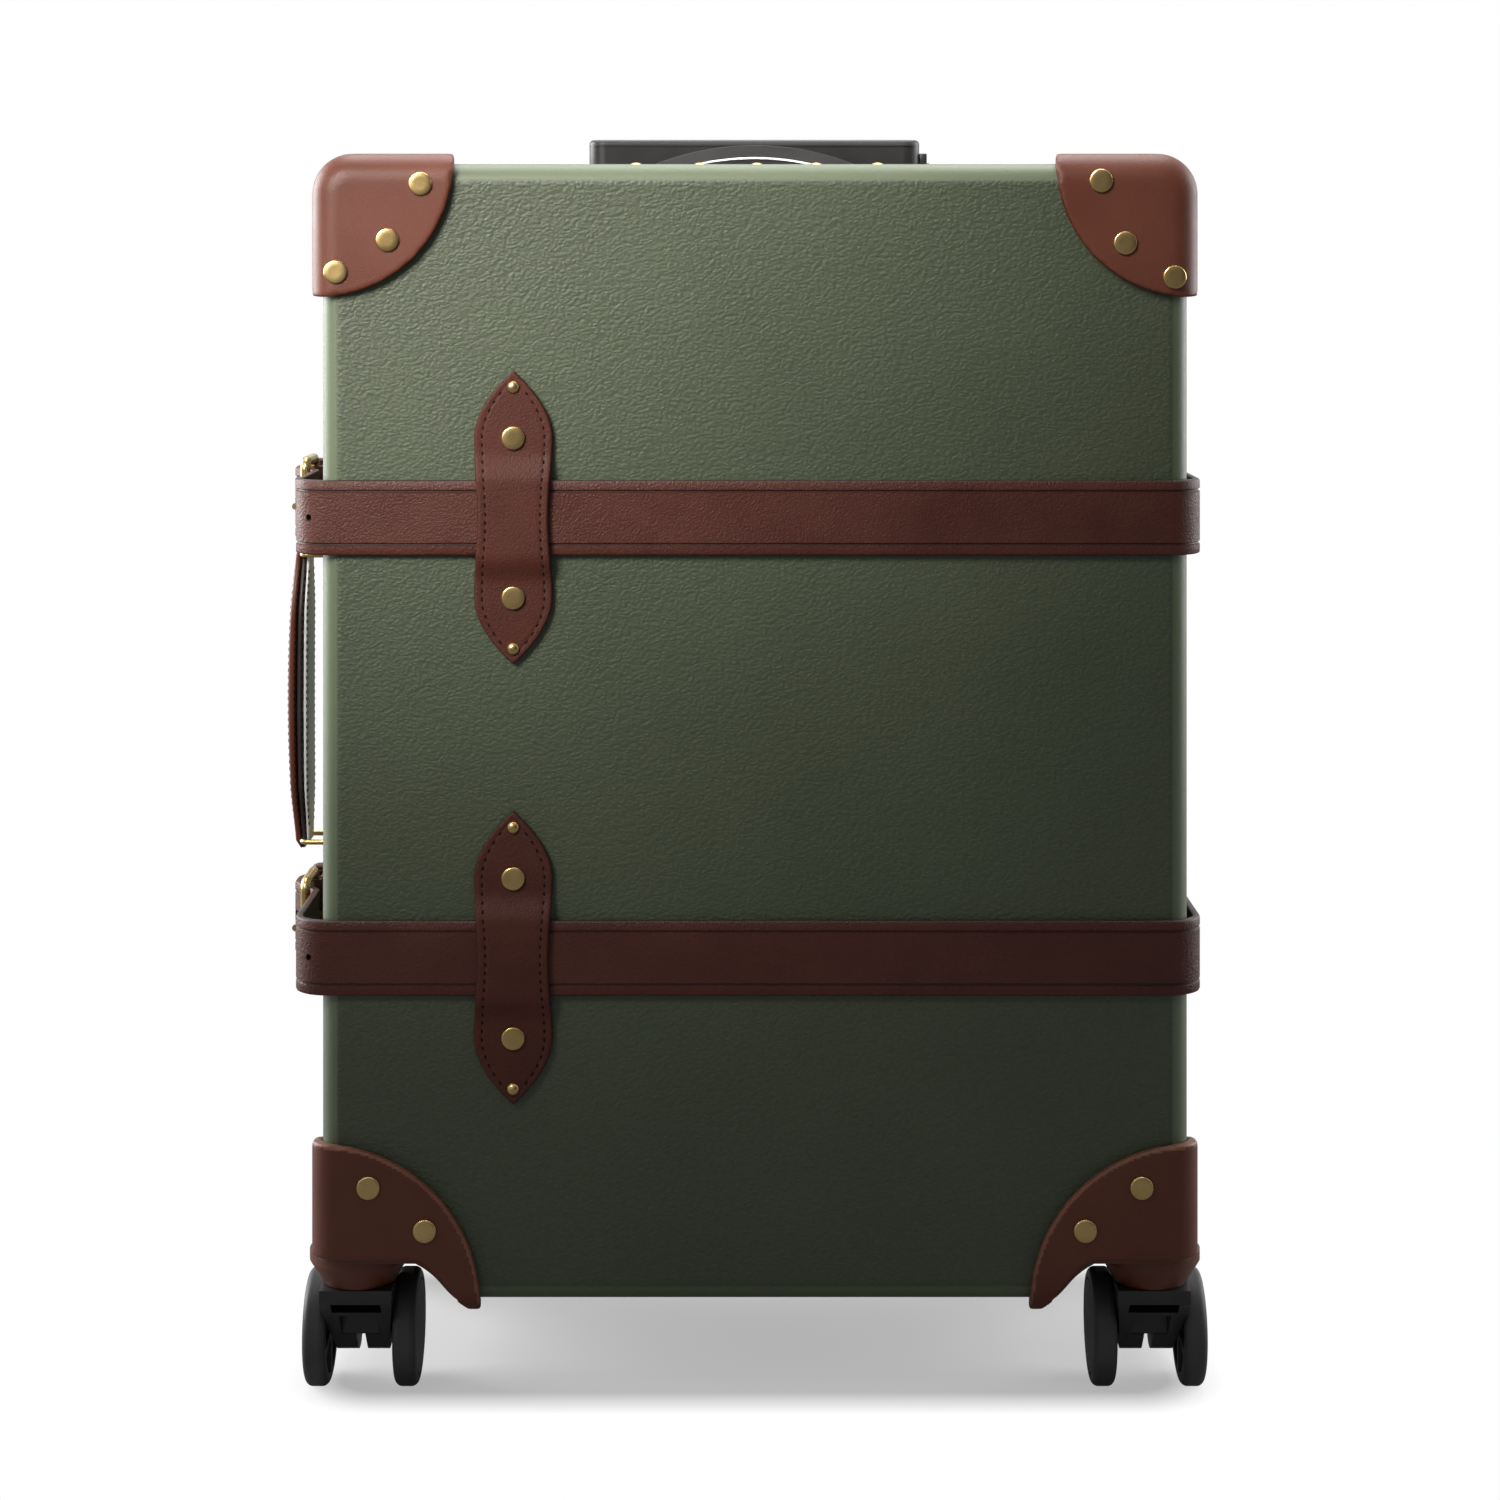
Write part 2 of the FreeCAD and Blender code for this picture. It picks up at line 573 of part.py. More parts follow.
def caster_fork(end, side):
    """Swivel fork: crown and stem, a raked arm to the axle, ribbed windows in front, and the axle."""
    name = "%s_%s_fork" % (end, side)
    item = body(name + "_arm", caster_place(end, side))
    crown_z = mm.collar_z - mm.fork_gap
    shoulder_z = crown_z - mm.fork_crown
    half = mm.collar_foot_radius
    boss = Vector(mm.caster_trail, mm.wheel_radius, 0)
    front_shoulder = Vector(-half, shoulder_z, 0)
    rear_shoulder = Vector(half, shoulder_z, 0)
    front_touch = tangent_point(boss, mm.fork_boss_radius, front_shoulder, 1)
    rear_touch = tangent_point(boss, mm.fork_boss_radius, rear_shoulder, -1)
    bottom = boss - Vector(0, mm.fork_boss_radius, 0)
    edges = [line((-half, crown_z), (half, crown_z)), line((half, crown_z), (half, shoulder_z)),
             line((half, shoulder_z), rear_touch), Part.Arc(rear_touch, bottom, front_touch),
             line(front_touch, (-half, shoulder_z)), line((-half, shoulder_z), (-half, crown_z))]
    pad(item, sketch(item, "YZ_Plane", name + "_side", edges), "fork_top_width", both=True)
    low = mm.wheel_radius - mm.fork_boss_radius
    top_half = mm.fork_top_width / 2
    foot_half = mm.fork_foot_width / 2
    for sign in (-1, 1):
        flank = loop([(sign * top_half, shoulder_z), (sign * foot_half, low - 1),
                      (sign * (top_half + 1), low - 1), (sign * (top_half + 1), shoulder_z)])
        profile = sketch(item, "XZ_Plane", "%s_flank_%d" % (name, sign + 1), flank)
        pocket(item, profile, "4 * collar_top_radius", both=True)
    window = top_half - mm.fork_rib * 1.5
    upper_top = shoulder_z
    upper_low = upper_top - mm.fork_upper_window
    lower_top = upper_low - mm.fork_bar
    lower_low = lower_top - mm.fork_lower_window
    lower_window = foot_half - mm.fork_rib
    windows = (("upper", window, upper_low, upper_top), ("lower", lower_window, lower_low, lower_top))
    for label, reach, bottom_z, top in windows:
        opening = loop([(-reach, bottom_z), (reach, bottom_z), (reach, top), (-reach, top)])
        profile = sketch(item, "XZ_Plane", "%s_%s_window" % (name, label), opening)
        profile.AttachmentOffset = Placement(Vector(0, 0, -mm.fork_window_floor), Rotation())
        pocket(item, profile, "3 * collar_top_radius", back=True)
    notch = mm.fork_notch / 2
    slit = loop([(-notch, low - 1), (notch, low - 1), (notch, lower_low), (-notch, lower_low)])
    pocket(item, sketch(item, "XZ_Plane", name + "_slit", slit), "6 * collar_top_radius", both=True)
    hole = circle((mm.caster_trail, mm.wheel_radius), mm.axle_radius)
    pocket(item, sketch(item, "YZ_Plane", name + "_bore", [hole]), "2 * fork_top_width", both=True)
    stem = sketch(item, "XY_Plane", name + "_stem", [circle((0, 0), mm.stem_radius)])
    stem.AttachmentOffset = Placement(Vector(0, 0, crown_z), Rotation())
    pad(item, stem, "roof_z - bore_roof - stem_end_gap - collar_z + fork_gap")
    reach = "wheel_spacing / 2 + wheel_width - axle_end"
    axle_y = "%d * caster_y + caster_trail" % ENDS[end]
    axle = rod(name + "_axle", "axle_radius", "2 * (%s)" % reach,
               ("%d * caster_x - (%s)" % (SIDES[side], reach), axle_y, "wheel_radius"), "x")
    spaces = []
    for sign in (-1, 1):
        face = "%d * caster_x + %d * (wheel_spacing / 2 - wheel_gap)" % (SIDES[side], sign)
        start = face if sign > 0 else face + " - wheel_width"
        spaces.append(rod("%s_wheel_space_%d" % (name, sign + 1), "wheel_radius + wheel_gap", "wheel_width",
                          (start, axle_y, "wheel_radius"), "x"))
    node(name, group(name, cut(name + "_body", item, *spaces), axle))


def tangent_point(centre, radius, outside, sign):
    """Where the tangent from a point outside a circle meets it, on the chosen side."""
    away = outside - centre
    angle = math.atan2(away.y, away.x) + sign * math.acos(radius / away.Length)
    return centre + Vector(math.cos(angle), math.sin(angle), 0) * radius


def wheel(end, side, name, sign):
    """A wheel with a closed outer face, and spokes on the face beside the fork."""
    place = ("%d * caster_x + %d * wheel_spacing / 2" % (SIDES[side], sign),
             "%d * caster_y + caster_trail" % ENDS[end], "wheel_radius")
    item = body(name, place, Rotation(Vector(0, 0, 1), 0 if sign > 0 else 180))
    bore = mm.axle_radius + mm.running_clearance
    wide = mm.wheel_width
    rim = mm.wheel_rim_radius
    blind = wide - mm.axle_end / 2
    groove = mm.cap_groove
    edges = [line((0, bore), (0, mm.wheel_radius)), line((0, mm.wheel_radius), (wide, mm.wheel_radius)),
             line((wide, mm.wheel_radius), (wide, rim + groove)),
             line((wide, rim + groove), (wide - groove, rim + groove)),
             line((wide - groove, rim + groove), (wide - groove, rim)),
             line((wide - groove, rim), (wide, rim)), line((wide, rim), (wide, 0)),
             line((wide, 0), (blind, 0)), line((blind, 0), (blind, bore)), line((blind, bore), (0, bore))]
    revolve(item, sketch(item, "XZ_Plane", name + "_profile", edges), "H_Axis")
    doc.recompute()
    turned = item.Tip
    tread = item.newObject("PartDesign::Fillet", name + "_tread")
    corners = ["Edge%d" % number for number, edge in enumerate(turned.Shape.Edges, start=1)
               if is_circle(edge, mm.wheel_radius)]
    tread.Base = (turned, corners)
    tread.setExpression("Radius", formula("tread_round"))
    doc.recompute()
    gap = math.pi / mm.spoke_count
    inner = mm.wheel_hub_radius
    inner_turn = gap - math.asin(mm.spoke_width / 2 / inner)
    outer_turn = gap - math.asin(mm.spoke_width / 2 / rim)

    def spot(radius, angle):
        return (radius * math.sin(angle), radius * math.cos(angle))
    sector = [arc(spot(inner, -inner_turn), spot(inner, 0), spot(inner, inner_turn)),
              line(spot(inner, inner_turn), spot(rim, outer_turn)),
              arc(spot(rim, outer_turn), spot(rim, 0), spot(rim, -outer_turn)),
              line(spot(rim, -outer_turn), spot(inner, -inner_turn))]
    opening = pocket(item, sketch(item, "YZ_Plane", name + "_opening", sector), "wheel_dish", back=True)
    spokes = item.newObject("PartDesign::PolarPattern", name + "_spokes")
    spokes.Originals = [opening]
    spokes.Axis = ([part for part in item.Origin.OriginFeatures if part.Role == "X_Axis"][0], [""])
    spokes.Angle = 360
    spokes.setExpression("Occurrences", formula("spoke_count"))
    item.Tip = spokes
    node(name, item)


def is_circle(edge, radius):
    return edge.Curve.TypeId == "Part::GeomCircle" and abs(edge.Curve.Radius - radius) < 1e-4


for end_name in ENDS:
    for side_name in SIDES:
        caster_fork(end_name, side_name)
        wheel(end_name, side_name, "%s_%s_wheel_a" % (end_name, side_name), -1)
        wheel(end_name, side_name, "%s_%s_wheel_b" % (end_name, side_name), 1)

# Belts: each goes right round the case, stands off its sides, and is buckled on the left.
STRAPS = {
    "upper": ("upper_strap_height", "upper_tail_flare"),
    "lower": ("lower_strap_height", "lower_tail_flare"),
}


def strip(name, points, radii, height, width="strap_width", thickness=None):
    """A leather strip of even thickness that follows a path in plan, centred on a height."""
    item = body(name, ("0", "0", height))
    thickness = mm.strap_thickness if thickness is None else thickness
    pad(item, sketch(item, "XY_Plane", name + "_plan", band(points, radii, thickness)), width, both=True)
    return item


def front_strap(name, height):
    """The lid's length of belt, from the hinge side round the front to the start of the tail."""
    round_off = mm.strap_bend_radius
    points = [(-mm.strap_left_x, -mm.face_y + mm.tail_start), (-mm.strap_left_x, -mm.strap_front_y),
              (mm.strap_right_x, -mm.strap_front_y), (mm.strap_right_x, mm.seam_y - mm.strap_hinge_cut)]
    radii = (0, round_off, round_off, 0)
    node(name + "_strap_front", strip(name + "_strap_front", points[::-1], radii, height))


def tail_path(flare):
    """Plan of the tail: under the buckle's front bar, over its heel bar, through the keeper, to the tip."""
    over_heel = mm.buckle_x + mm.chape_radius + mm.tail_clearance
    on_chape = mm.buckle_x - mm.chape_radius + mm.strap_thickness + mm.tail_clearance
    bar_y = mm.heel_y - mm.buckle_length
    rise = mm.buckle_wire * 2
    keeper_y = mm.seam_y + mm.keeper_inset
    tip_y = mm.seam_y + mm.tail_tip
    return [(-mm.strap_left_x, -mm.face_y + mm.tail_start), (-mm.strap_left_x, bar_y + rise),
            (-over_heel, mm.heel_y - mm.chape_radius), (-over_heel, mm.heel_y + mm.chape_radius),
            (-on_chape, keeper_y - mm.tail_clearance),
            (-on_chape, keeper_y + mm.keeper_width + mm.tail_clearance), (-on_chape - flare, tip_y)]


def strap_tail(name, height, flare):
    points = tail_path(flare)
    soft = mm.strap_bend_radius * 0.6
    tail = strip(name + "_tail_strip", points, (0, soft, soft * 0.5, soft * 0.5, soft * 0.5, soft, 0), height,
                 thickness=mm.strap_thickness)
    half = mm.strap_width / 2
    tip_y = points[-1][1]
    shoulder_y = tip_y - mm.tail_point
    outline = body(name + "_tail_outline", ("-buckle_x", "0", height))
    start_y = points[0][1]
    bow_y = tip_y - mm.tail_point * 0.22
    edges = [line((start_y, half), (start_y, -half))]
    for sign in (-1, 1):
        edges.append(line((start_y, sign * half), (shoulder_y, sign * half)))
        edges.append(arc((shoulder_y, sign * half), (bow_y, sign * half * 0.5), (tip_y, 0)))
    side = sketch(outline, "YZ_Plane", name + "_tail_side", edges)
    pad(outline, side, "4 * strap_left_standoff", both=True)
    pointed = common(name + "_tail_pointed", tail, outline)
    bar_y = "heel_y - buckle_length"
    slot = block(name + "_tail_slot",
                 ("-2 * buckle_x", bar_y + " + buckle_wire", height + " - prong_slot / 2"),
                 ("-side_x", "heel_y - chape_radius + prong_radius", height + " + prong_slot / 2"))
    hole = rod(name + "_tail_hole", "hole_radius", "4 * strap_left_standoff",
               ("-strap_left_x - 2 * strap_thickness", bar_y + " - tail_hole_pitch / 2", height), "x")
    node(name + "_strap_tail", cut(name + "_strap_tail", pointed, slot, hole))


def rear_strap(name, height):
    """The rear half's length of belt, with the chape that holds the buckle and the keeper loop."""
    chape_x = mm.buckle_x - mm.chape_radius
    round_off = mm.strap_bend_radius
    points = [(mm.strap_right_x, mm.seam_y + mm.strap_hinge_cut), (mm.strap_right_x, mm.strap_front_y),
              (-chape_x, mm.strap_front_y), (-chape_x, mm.heel_y)]
    belt = strip(name + "_rear_belt", points[::-1], (0, round_off, round_off, 0), height)
    eye = rod(name + "_chape_eye", "chape_radius", "strap_width",
              ("-buckle_x", "heel_y", height + " - strap_width / 2"))
    bore = rod(name + "_chape_bore", "buckle_wire + wire_clearance", "2 * strap_width",
               ("-buckle_x", "heel_y", height + " - strap_width"))
    slot = block(name + "_chape_slot",
                 ("-2 * buckle_x", "heel_y - 2 * chape_radius", height + " - prong_slot / 2"),
                 ("-side_x", "heel_y + chape_radius + tail_clearance", height + " + prong_slot / 2"))
    chape = cut(name + "_chape", fuse(name + "_chape_blank", belt, eye), bore, slot)
    low = "strap_width / 2 + tail_clearance"
    inner = ("-buckle_x + chape_radius - 2 * strap_thickness - 2 * tail_clearance",
             "-buckle_x + chape_radius")
    keeper_y = "seam_y + keeper_inset"
    outside = block(name + "_keeper_blank",
                    (inner[0] + " - keeper_wall", keeper_y, "%s - (%s) - keeper_wall" % (height, low)),
                    (inner[1] + " + keeper_wall", keeper_y + " + keeper_width",
                     "%s + %s + keeper_wall" % (height, low)))
    rounded = round_edges(name + "_keeper_round", outside, mm.keeper_wall, along("y"))
    inside = block(name + "_keeper_space",
                   (inner[0], keeper_y + " - keeper_width", "%s - (%s)" % (height, low)),
                   (inner[1], keeper_y + " + 2 * keeper_width", "%s + %s" % (height, low)))
    node(name + "_strap_rear", group(name + "_strap_rear", chape, cut(name + "_keeper", rounded, inside)))


def buckle(name, height):
    half = mm.strap_width / 2 + mm.buckle_side_clearance + mm.buckle_corner
    long = mm.buckle_length
    frame = tube_ring(name + "_buckle_frame", [(0, -half), (0, half), (-long, half), (-long, -half)],
                      mm.buckle_corner, mm.buckle_wire, ("-buckle_x", "heel_y", height), frame_turn())
    node(name + "_buckle_frame", frame)
    eye = rod(name + "_prong_eye", "buckle_wire + wire_clearance + prong_radius", "prong_eye_width",
              ("-buckle_x", "heel_y", height + " - prong_eye_width / 2"))
    bore = rod(name + "_prong_bore", "buckle_wire + wire_clearance", "2 * prong_eye_width",
               ("-buckle_x", "heel_y", height + " - prong_eye_width"))
    start = Vector(mm.buckle_wire + mm.wire_clearance + mm.prong_radius * 0.2, 0, 0)
    end = Vector(mm.buckle_wire + mm.prong_radius + mm.buckle_clearance,
                 -mm.buckle_length - mm.prong_overhang, 0)
    needle = doc.addObject("Part::Cylinder", name + "_needle")
    needle.setExpression("Radius", formula("prong_radius"))
    run = Vector(-end.x, end.y, 0) - Vector(-start.x, start.y, 0)
    needle.Height = run.Length
    needle.Placement = Placement(Vector(0, 0, 0), Rotation(Vector(0, 0, 1), run))
    locate(needle, ("-buckle_x - %s" % start.x, "heel_y", height))
    node(name + "_buckle_prong", cut(name + "_buckle_prong", fuse(name + "_prong_blank", eye, needle), bore))


def frame_turn():
    """Stand a ring drawn in plan upright, its first axis along Y and its second along Z."""
    return Rotation(Vector(0, 1, 0), Vector(0, 0, 1), Vector(1, 0, 0), "XYZ")


def strap_tab(name, height):
    """A pointed leaf of leather that bridges the belt and is riveted above and below it."""
    half = mm.tab_length / 2
    lift = mm.strap_lift + mm.strap_thickness + mm.tab_clearance
    edge = mm.strap_width / 2 + mm.tab_clearance
    foot = edge + mm.tab_ramp
    path = [(0, -half), (0, -foot), (-lift, -edge), (-lift, edge), (0, foot), (0, half)]
    strap_over = body(name + "_tab_strip", ("-tab_offset", "-face_y", height))
    soft = mm.tab_ramp * 0.6
    outline = band([(a, b) for a, b in path], (0, soft, soft * 0.6, soft * 0.6, soft, 0), mm.tab_thickness)
    pad(strap_over, sketch(strap_over, "YZ_Plane", name + "_tab_side", outline), "tab_width", both=True)
    leaf = body(name + "_tab_leaf", ("-tab_offset", "-face_y", height))
    wide = mm.tab_width / 2
    waist = mm.tab_waist / 2
    bulge = mm.tab_rivet_spacing / 2
    tip_bow = ((wide * 0.62), (half + bulge) / 2 + (half - bulge) * 0.14)
    edges = []
    for sign in (1, -1):
        edges.append(arc((sign * wide, -bulge), (sign * waist, 0), (sign * wide, bulge)))
        edges.append(arc((sign * wide, bulge), (sign * tip_bow[0], tip_bow[1]), (0, half)))
        edges.append(arc((sign * wide, -bulge), (sign * tip_bow[0], -tip_bow[1]), (0, -half)))
    pad(leaf, sketch(leaf, "XZ_Plane", name + "_tab_front", edges), "6 * tab_thickness", both=True)
    shaped = common(name + "_tab_shaped", strap_over, leaf)
    tools = []
    for sign in (-1, 1):
        at = ("-tab_offset", "-face_y", "%s + %d * tab_rivet_spacing / 2" % (height, sign))
        shank, piece = rivet("%s_tab_rivet_%d" % (name, sign + 1), at, "y", -1, "tab_thickness")
        tools.append(shank)
        rivets["lid"].append(piece)
    node(name + "_strap_tab", cut(name + "_strap_tab", shaped, *tools))


for strap_name, (height_name, flare_name) in STRAPS.items():
    front_strap(strap_name, height_name)
    strap_tail(strap_name, height_name, getattr(mm, flare_name))
    rear_strap(strap_name, height_name)
    buckle(strap_name, height_name)
    strap_tab(strap_name, height_name)
bends = []
for strap_name, (height_name, flare_name) in STRAPS.items():
    bends.append(block(strap_name + "_hinge_bend",
                       ("strap_right_x", "seam_y - strap_hinge_cut", height_name + " - strap_width / 2"),
                       ("strap_right_x + strap_thickness", "seam_y + strap_hinge_cut",
                        height_name + " + strap_width / 2")))
node("strap_hinge_bends", group("strap_hinge_bends", *bends))

node("lid_rivets", group("lid_rivets", *rivets["lid"]))
node("base_rivets", group("base_rivets", *rivets["base"]))


def carry_handle():
    """Leather handle on two brass rings that rock in brackets on the left side."""
    half = mm.handle_bar_spacing / 2
    brackets = []
    for label, sign in (("lower", -1), ("upper", 1)):
        height = "handle_height + %d * handle_bar_spacing / 2" % sign
        plate = block(label + "_bracket_plate",
                      ("-side_x - bracket_plate", "handle_y - bracket_width / 2",
                       height + " - bracket_height / 2"),
                      ("-side_x", "handle_y + bracket_width / 2", height + " + bracket_height / 2"))
        rounded = round_edges(label + "_bracket_round", plate, mm.ring_corner, along("x"))
        web = block(label + "_bracket_web", ("-side_x - knuckle_height", "handle_y - knuckle_width / 2",
                                             height + " - knuckle_radius"),
                    ("-side_x - bracket_plate / 2", "handle_y + knuckle_width / 2",
                     height + " + knuckle_radius"))
        barrel = rod(label + "_bracket_barrel", "knuckle_radius", "knuckle_width",
                     ("-side_x - knuckle_height", "handle_y - knuckle_width / 2", height), "y")
        bore = rod(label + "_bracket_bore", "ring_wire + running_clearance", "2 * knuckle_width",
                   ("-side_x - knuckle_height", "handle_y - knuckle_width", height), "y")
        brackets.append(cut(label + "_bracket", fuse(label + "_bracket_blank", rounded, web, barrel), bore))
        reach = mm.ring_reach - mm.knuckle_height
        wide = mm.ring_width / 2
        ring = tube_ring("carry_ring_" + label, [(0, wide), (-reach, wide), (-reach, -wide), (0, -wide)],
                         mm.ring_corner, mm.ring_wire, ("-side_x - knuckle_height", "handle_y", height), None)
        node("carry_ring_" + label, ring)
    node("carry_handle_brackets", group("carry_handle_brackets", *brackets))
    side = body("carry_handle_side", ("-handle_x", "handle_y", "handle_height"))
    eye = mm.grip_loop_radius
    outer = -eye - mm.grip_bow
    inner = outer + mm.grip_thickness
    edges = [arc((-eye, -half), (outer, 0), (-eye, half)), arc((-eye, half), (0, half + eye), (eye, half)),
             arc((eye, half), (inner, 0), (eye, -half)), arc((eye, -half), (0, -half - eye), (-eye, -half))]
    pad(side, sketch(side, "XZ_Plane", "carry_handle_side_profile", edges), "grip_width", both=True)
    face = body("carry_handle_face", ("-handle_x", "handle_y", "handle_height"))
    wide = mm.grip_width / 2
    narrow = mm.grip_loop_width / 2
    neck = half - 2 * eye
    swell = half * 0.55
    edges = []
    for sign in (-1, 1):
        edges.append(line((sign * narrow, half + eye), (sign * narrow, neck)))
        edges.append(line((sign * narrow, neck), (sign * wide, swell)))
        edges.append(line((sign * wide, swell), (sign * wide, -swell)))
        edges.append(line((sign * wide, -swell), (sign * narrow, -neck)))
        edges.append(line((sign * narrow, -neck), (sign * narrow, -half - eye)))
        edges.append(line((-narrow, sign * (half + eye)), (narrow, sign * (half + eye))))
    pad(face, sketch(face, "YZ_Plane", "carry_handle_face_profile", edges), "4 * grip_thickness", both=True)
    shaped = common("carry_handle_shaped", side, face)
    bores = [rod("carry_handle_bore_%d" % (sign + 1), "ring_wire + running_clearance", "2 * grip_width",
                 ("-handle_x", "handle_y - grip_width",
                  "handle_height + %d * handle_bar_spacing / 2" % sign), "y")
             for sign in (-1, 1)]
    node("carry_handle", cut("carry_handle", shaped, *bores))


carry_handle()


def side_locks():
    """Sliding-bolt locks on the left: lock case and slide on the rear half, hasp on the lid."""
    plates = []
    hinges = []
    for label, sign in (("lower", -1), ("upper", 1)):
        height = "middle_z + %d * lock_spacing / 2" % sign
        low = height + " - lock_height / 2"
        high = height + " + lock_height / 2"
        plate = block(label + "_lock_plate", ("-side_x - lock_plate", "seam_y + seam_gap", low),
                      ("-side_x", "seam_y + lock_depth", high))
        rounded = round_edges(label + "_lock_plate_round", plate, mm.hasp_knuckle, along("x"))
        case = block(label + "_lock_case", ("-side_x - lock_plate - lock_case_height",
                                            "seam_y + lock_depth - lock_case_depth", low + " + hasp_knuckle"),
                     ("-side_x - lock_plate", "seam_y + lock_depth - hasp_knuckle", high + " - hasp_knuckle"))
        channel = block(label + "_lock_channel", ("-side_x - 2 * lock_case_height", "seam_y",
                                                  height + " - lock_channel / 2"),
                        ("-side_x - lock_plate", "seam_y + hasp_overlap + slide_clearance",
                         height + " + lock_channel / 2"))
        lock_top = "-side_x - lock_plate - lock_case_height"
        knob_y = "seam_y + lock_depth - lock_case_depth / 2"
        knob_z = height + " + lock_channel / 2 + slide_clearance"
        slot = block(label + "_lock_slot", (lock_top + " - slide_clearance",
                                            knob_y + " - bolt_width / 2 - slide_clearance", height),
                     (lock_top + " + bolt_depth + slide_clearance",
                      knob_y + " + bolt_width / 2 + slide_clearance",
                      knob_z + " + slide_length + slide_clearance"))
        plates.append(cut(label + "_lock_body", fuse(label + "_lock_blank", rounded, case), channel, slot))
        axis_y = "seam_y - hasp_axis_inset"
        axis_x = "-side_x - hasp_knuckle - slide_clearance"
        wide = height + " - hasp_width / 2"
        leaf_y = axis_y + " - hasp_leaf"
        leaf = block(label + "_hasp_leaf", ("-side_x - lock_plate", leaf_y, wide),
                     ("-side_x", axis_y, height + " + hasp_width / 2"))
        third = "hasp_width / 3"
        barrel = rod(label + "_hasp_leaf_barrel", "hasp_knuckle", third,
                     (axis_x, axis_y, height + " - hasp_width / 6"))
        pin = rod(label + "_hasp_pin", "hasp_pin", "hasp_width", (axis_x, axis_y, wide))
        room_y = axis_y + " - hasp_knuckle - slide_clearance"
        room = block(label + "_hasp_room_low", ("-side_x - 4 * hasp_knuckle", room_y, wide),
                     ("-side_x", axis_y + " + hasp_knuckle", height + " - hasp_width / 6"))
        room_high = block(label + "_hasp_room_high",
                          ("-side_x - 4 * hasp_knuckle", room_y, height + " + hasp_width / 6"),
                          ("-side_x", axis_y + " + hasp_knuckle", height + " + hasp_width / 2"))
        leaf_blank = fuse(label + "_hasp_leaf_blank", leaf, barrel)
        leaf_cut = cut(label + "_hasp_leaf_cut", leaf_blank, room, room_high)
        hinges.append(fuse(label + "_hasp_mount", leaf_cut, pin))
        knuckles = []
        gap = "slide_clearance"
        for number, start in ((0, wide), (1, height + " + hasp_width / 6 + " + gap)):
            knuckles.append(rod("%s_hasp_knuckle_%d" % (label, number), "hasp_knuckle", third + " - " + gap,
                                (axis_x, axis_y, start)))
        under = "-side_x - lock_plate - hasp_lift"
        flap = block(label + "_hasp_flap", (under + " - hasp_thickness", axis_y, wide),
                     (under, "seam_y + hasp_overlap", height + " + hasp_width / 2"))
        flap_round = round_edges(label + "_hasp_flap_round", flap, mm.hasp_leaf * 0.4, far_corners(flap))
        clear = rod(label + "_hasp_clear", "hasp_knuckle + slide_clearance", third + " + 2 * " + gap,
                    (axis_x, axis_y, height + " - hasp_width / 6 - " + gap))
        bore = rod(label + "_hasp_bore", "hasp_pin + running_clearance", "2 * hasp_width",
                   (axis_x, axis_y, height + " - hasp_width"))
        blank = fuse(label + "_hasp_blank", flap_round, *knuckles)
        node(label + "_lock_hasp", cut(label + "_lock_hasp", blank, clear, bore))
        knob = block(label + "_slide_knob",
                     (lock_top + " - slide_height", knob_y + " - slide_width / 2", knob_z),
                     (lock_top, knob_y + " + slide_width / 2", knob_z + " + slide_length"))
        knob_round = round_edges(label + "_slide_knob_round", knob, mm.slide_height * 0.4,
                                 level("x", slide_face()))
        bolt = block(label + "_slide_bolt", (lock_top, knob_y + " - bolt_width / 2", knob_z),
                     (lock_top + " + bolt_depth", knob_y + " + bolt_width / 2", knob_z + " + slide_length"))
        node(label + "_lock_slide", fuse(label + "_lock_slide", knob_round, bolt))
    node("lock_plates", group("lock_plates", *plates))
    node("hasp_plates", group("hasp_plates", *hinges))


def slide_face():
    return -mm.side_x - mm.lock_plate - mm.lock_case_height - mm.slide_height


def far_corners(flap):
    """Accept the two edges across the thickness at a flap's free end."""
    doc.recompute()
    end = flap.Shape.BoundBox.YMax

    def test(edge):
        return along("x")(edge) and abs(edge.BoundBox.YMax - end) < 1e-4
    return test


side_locks()


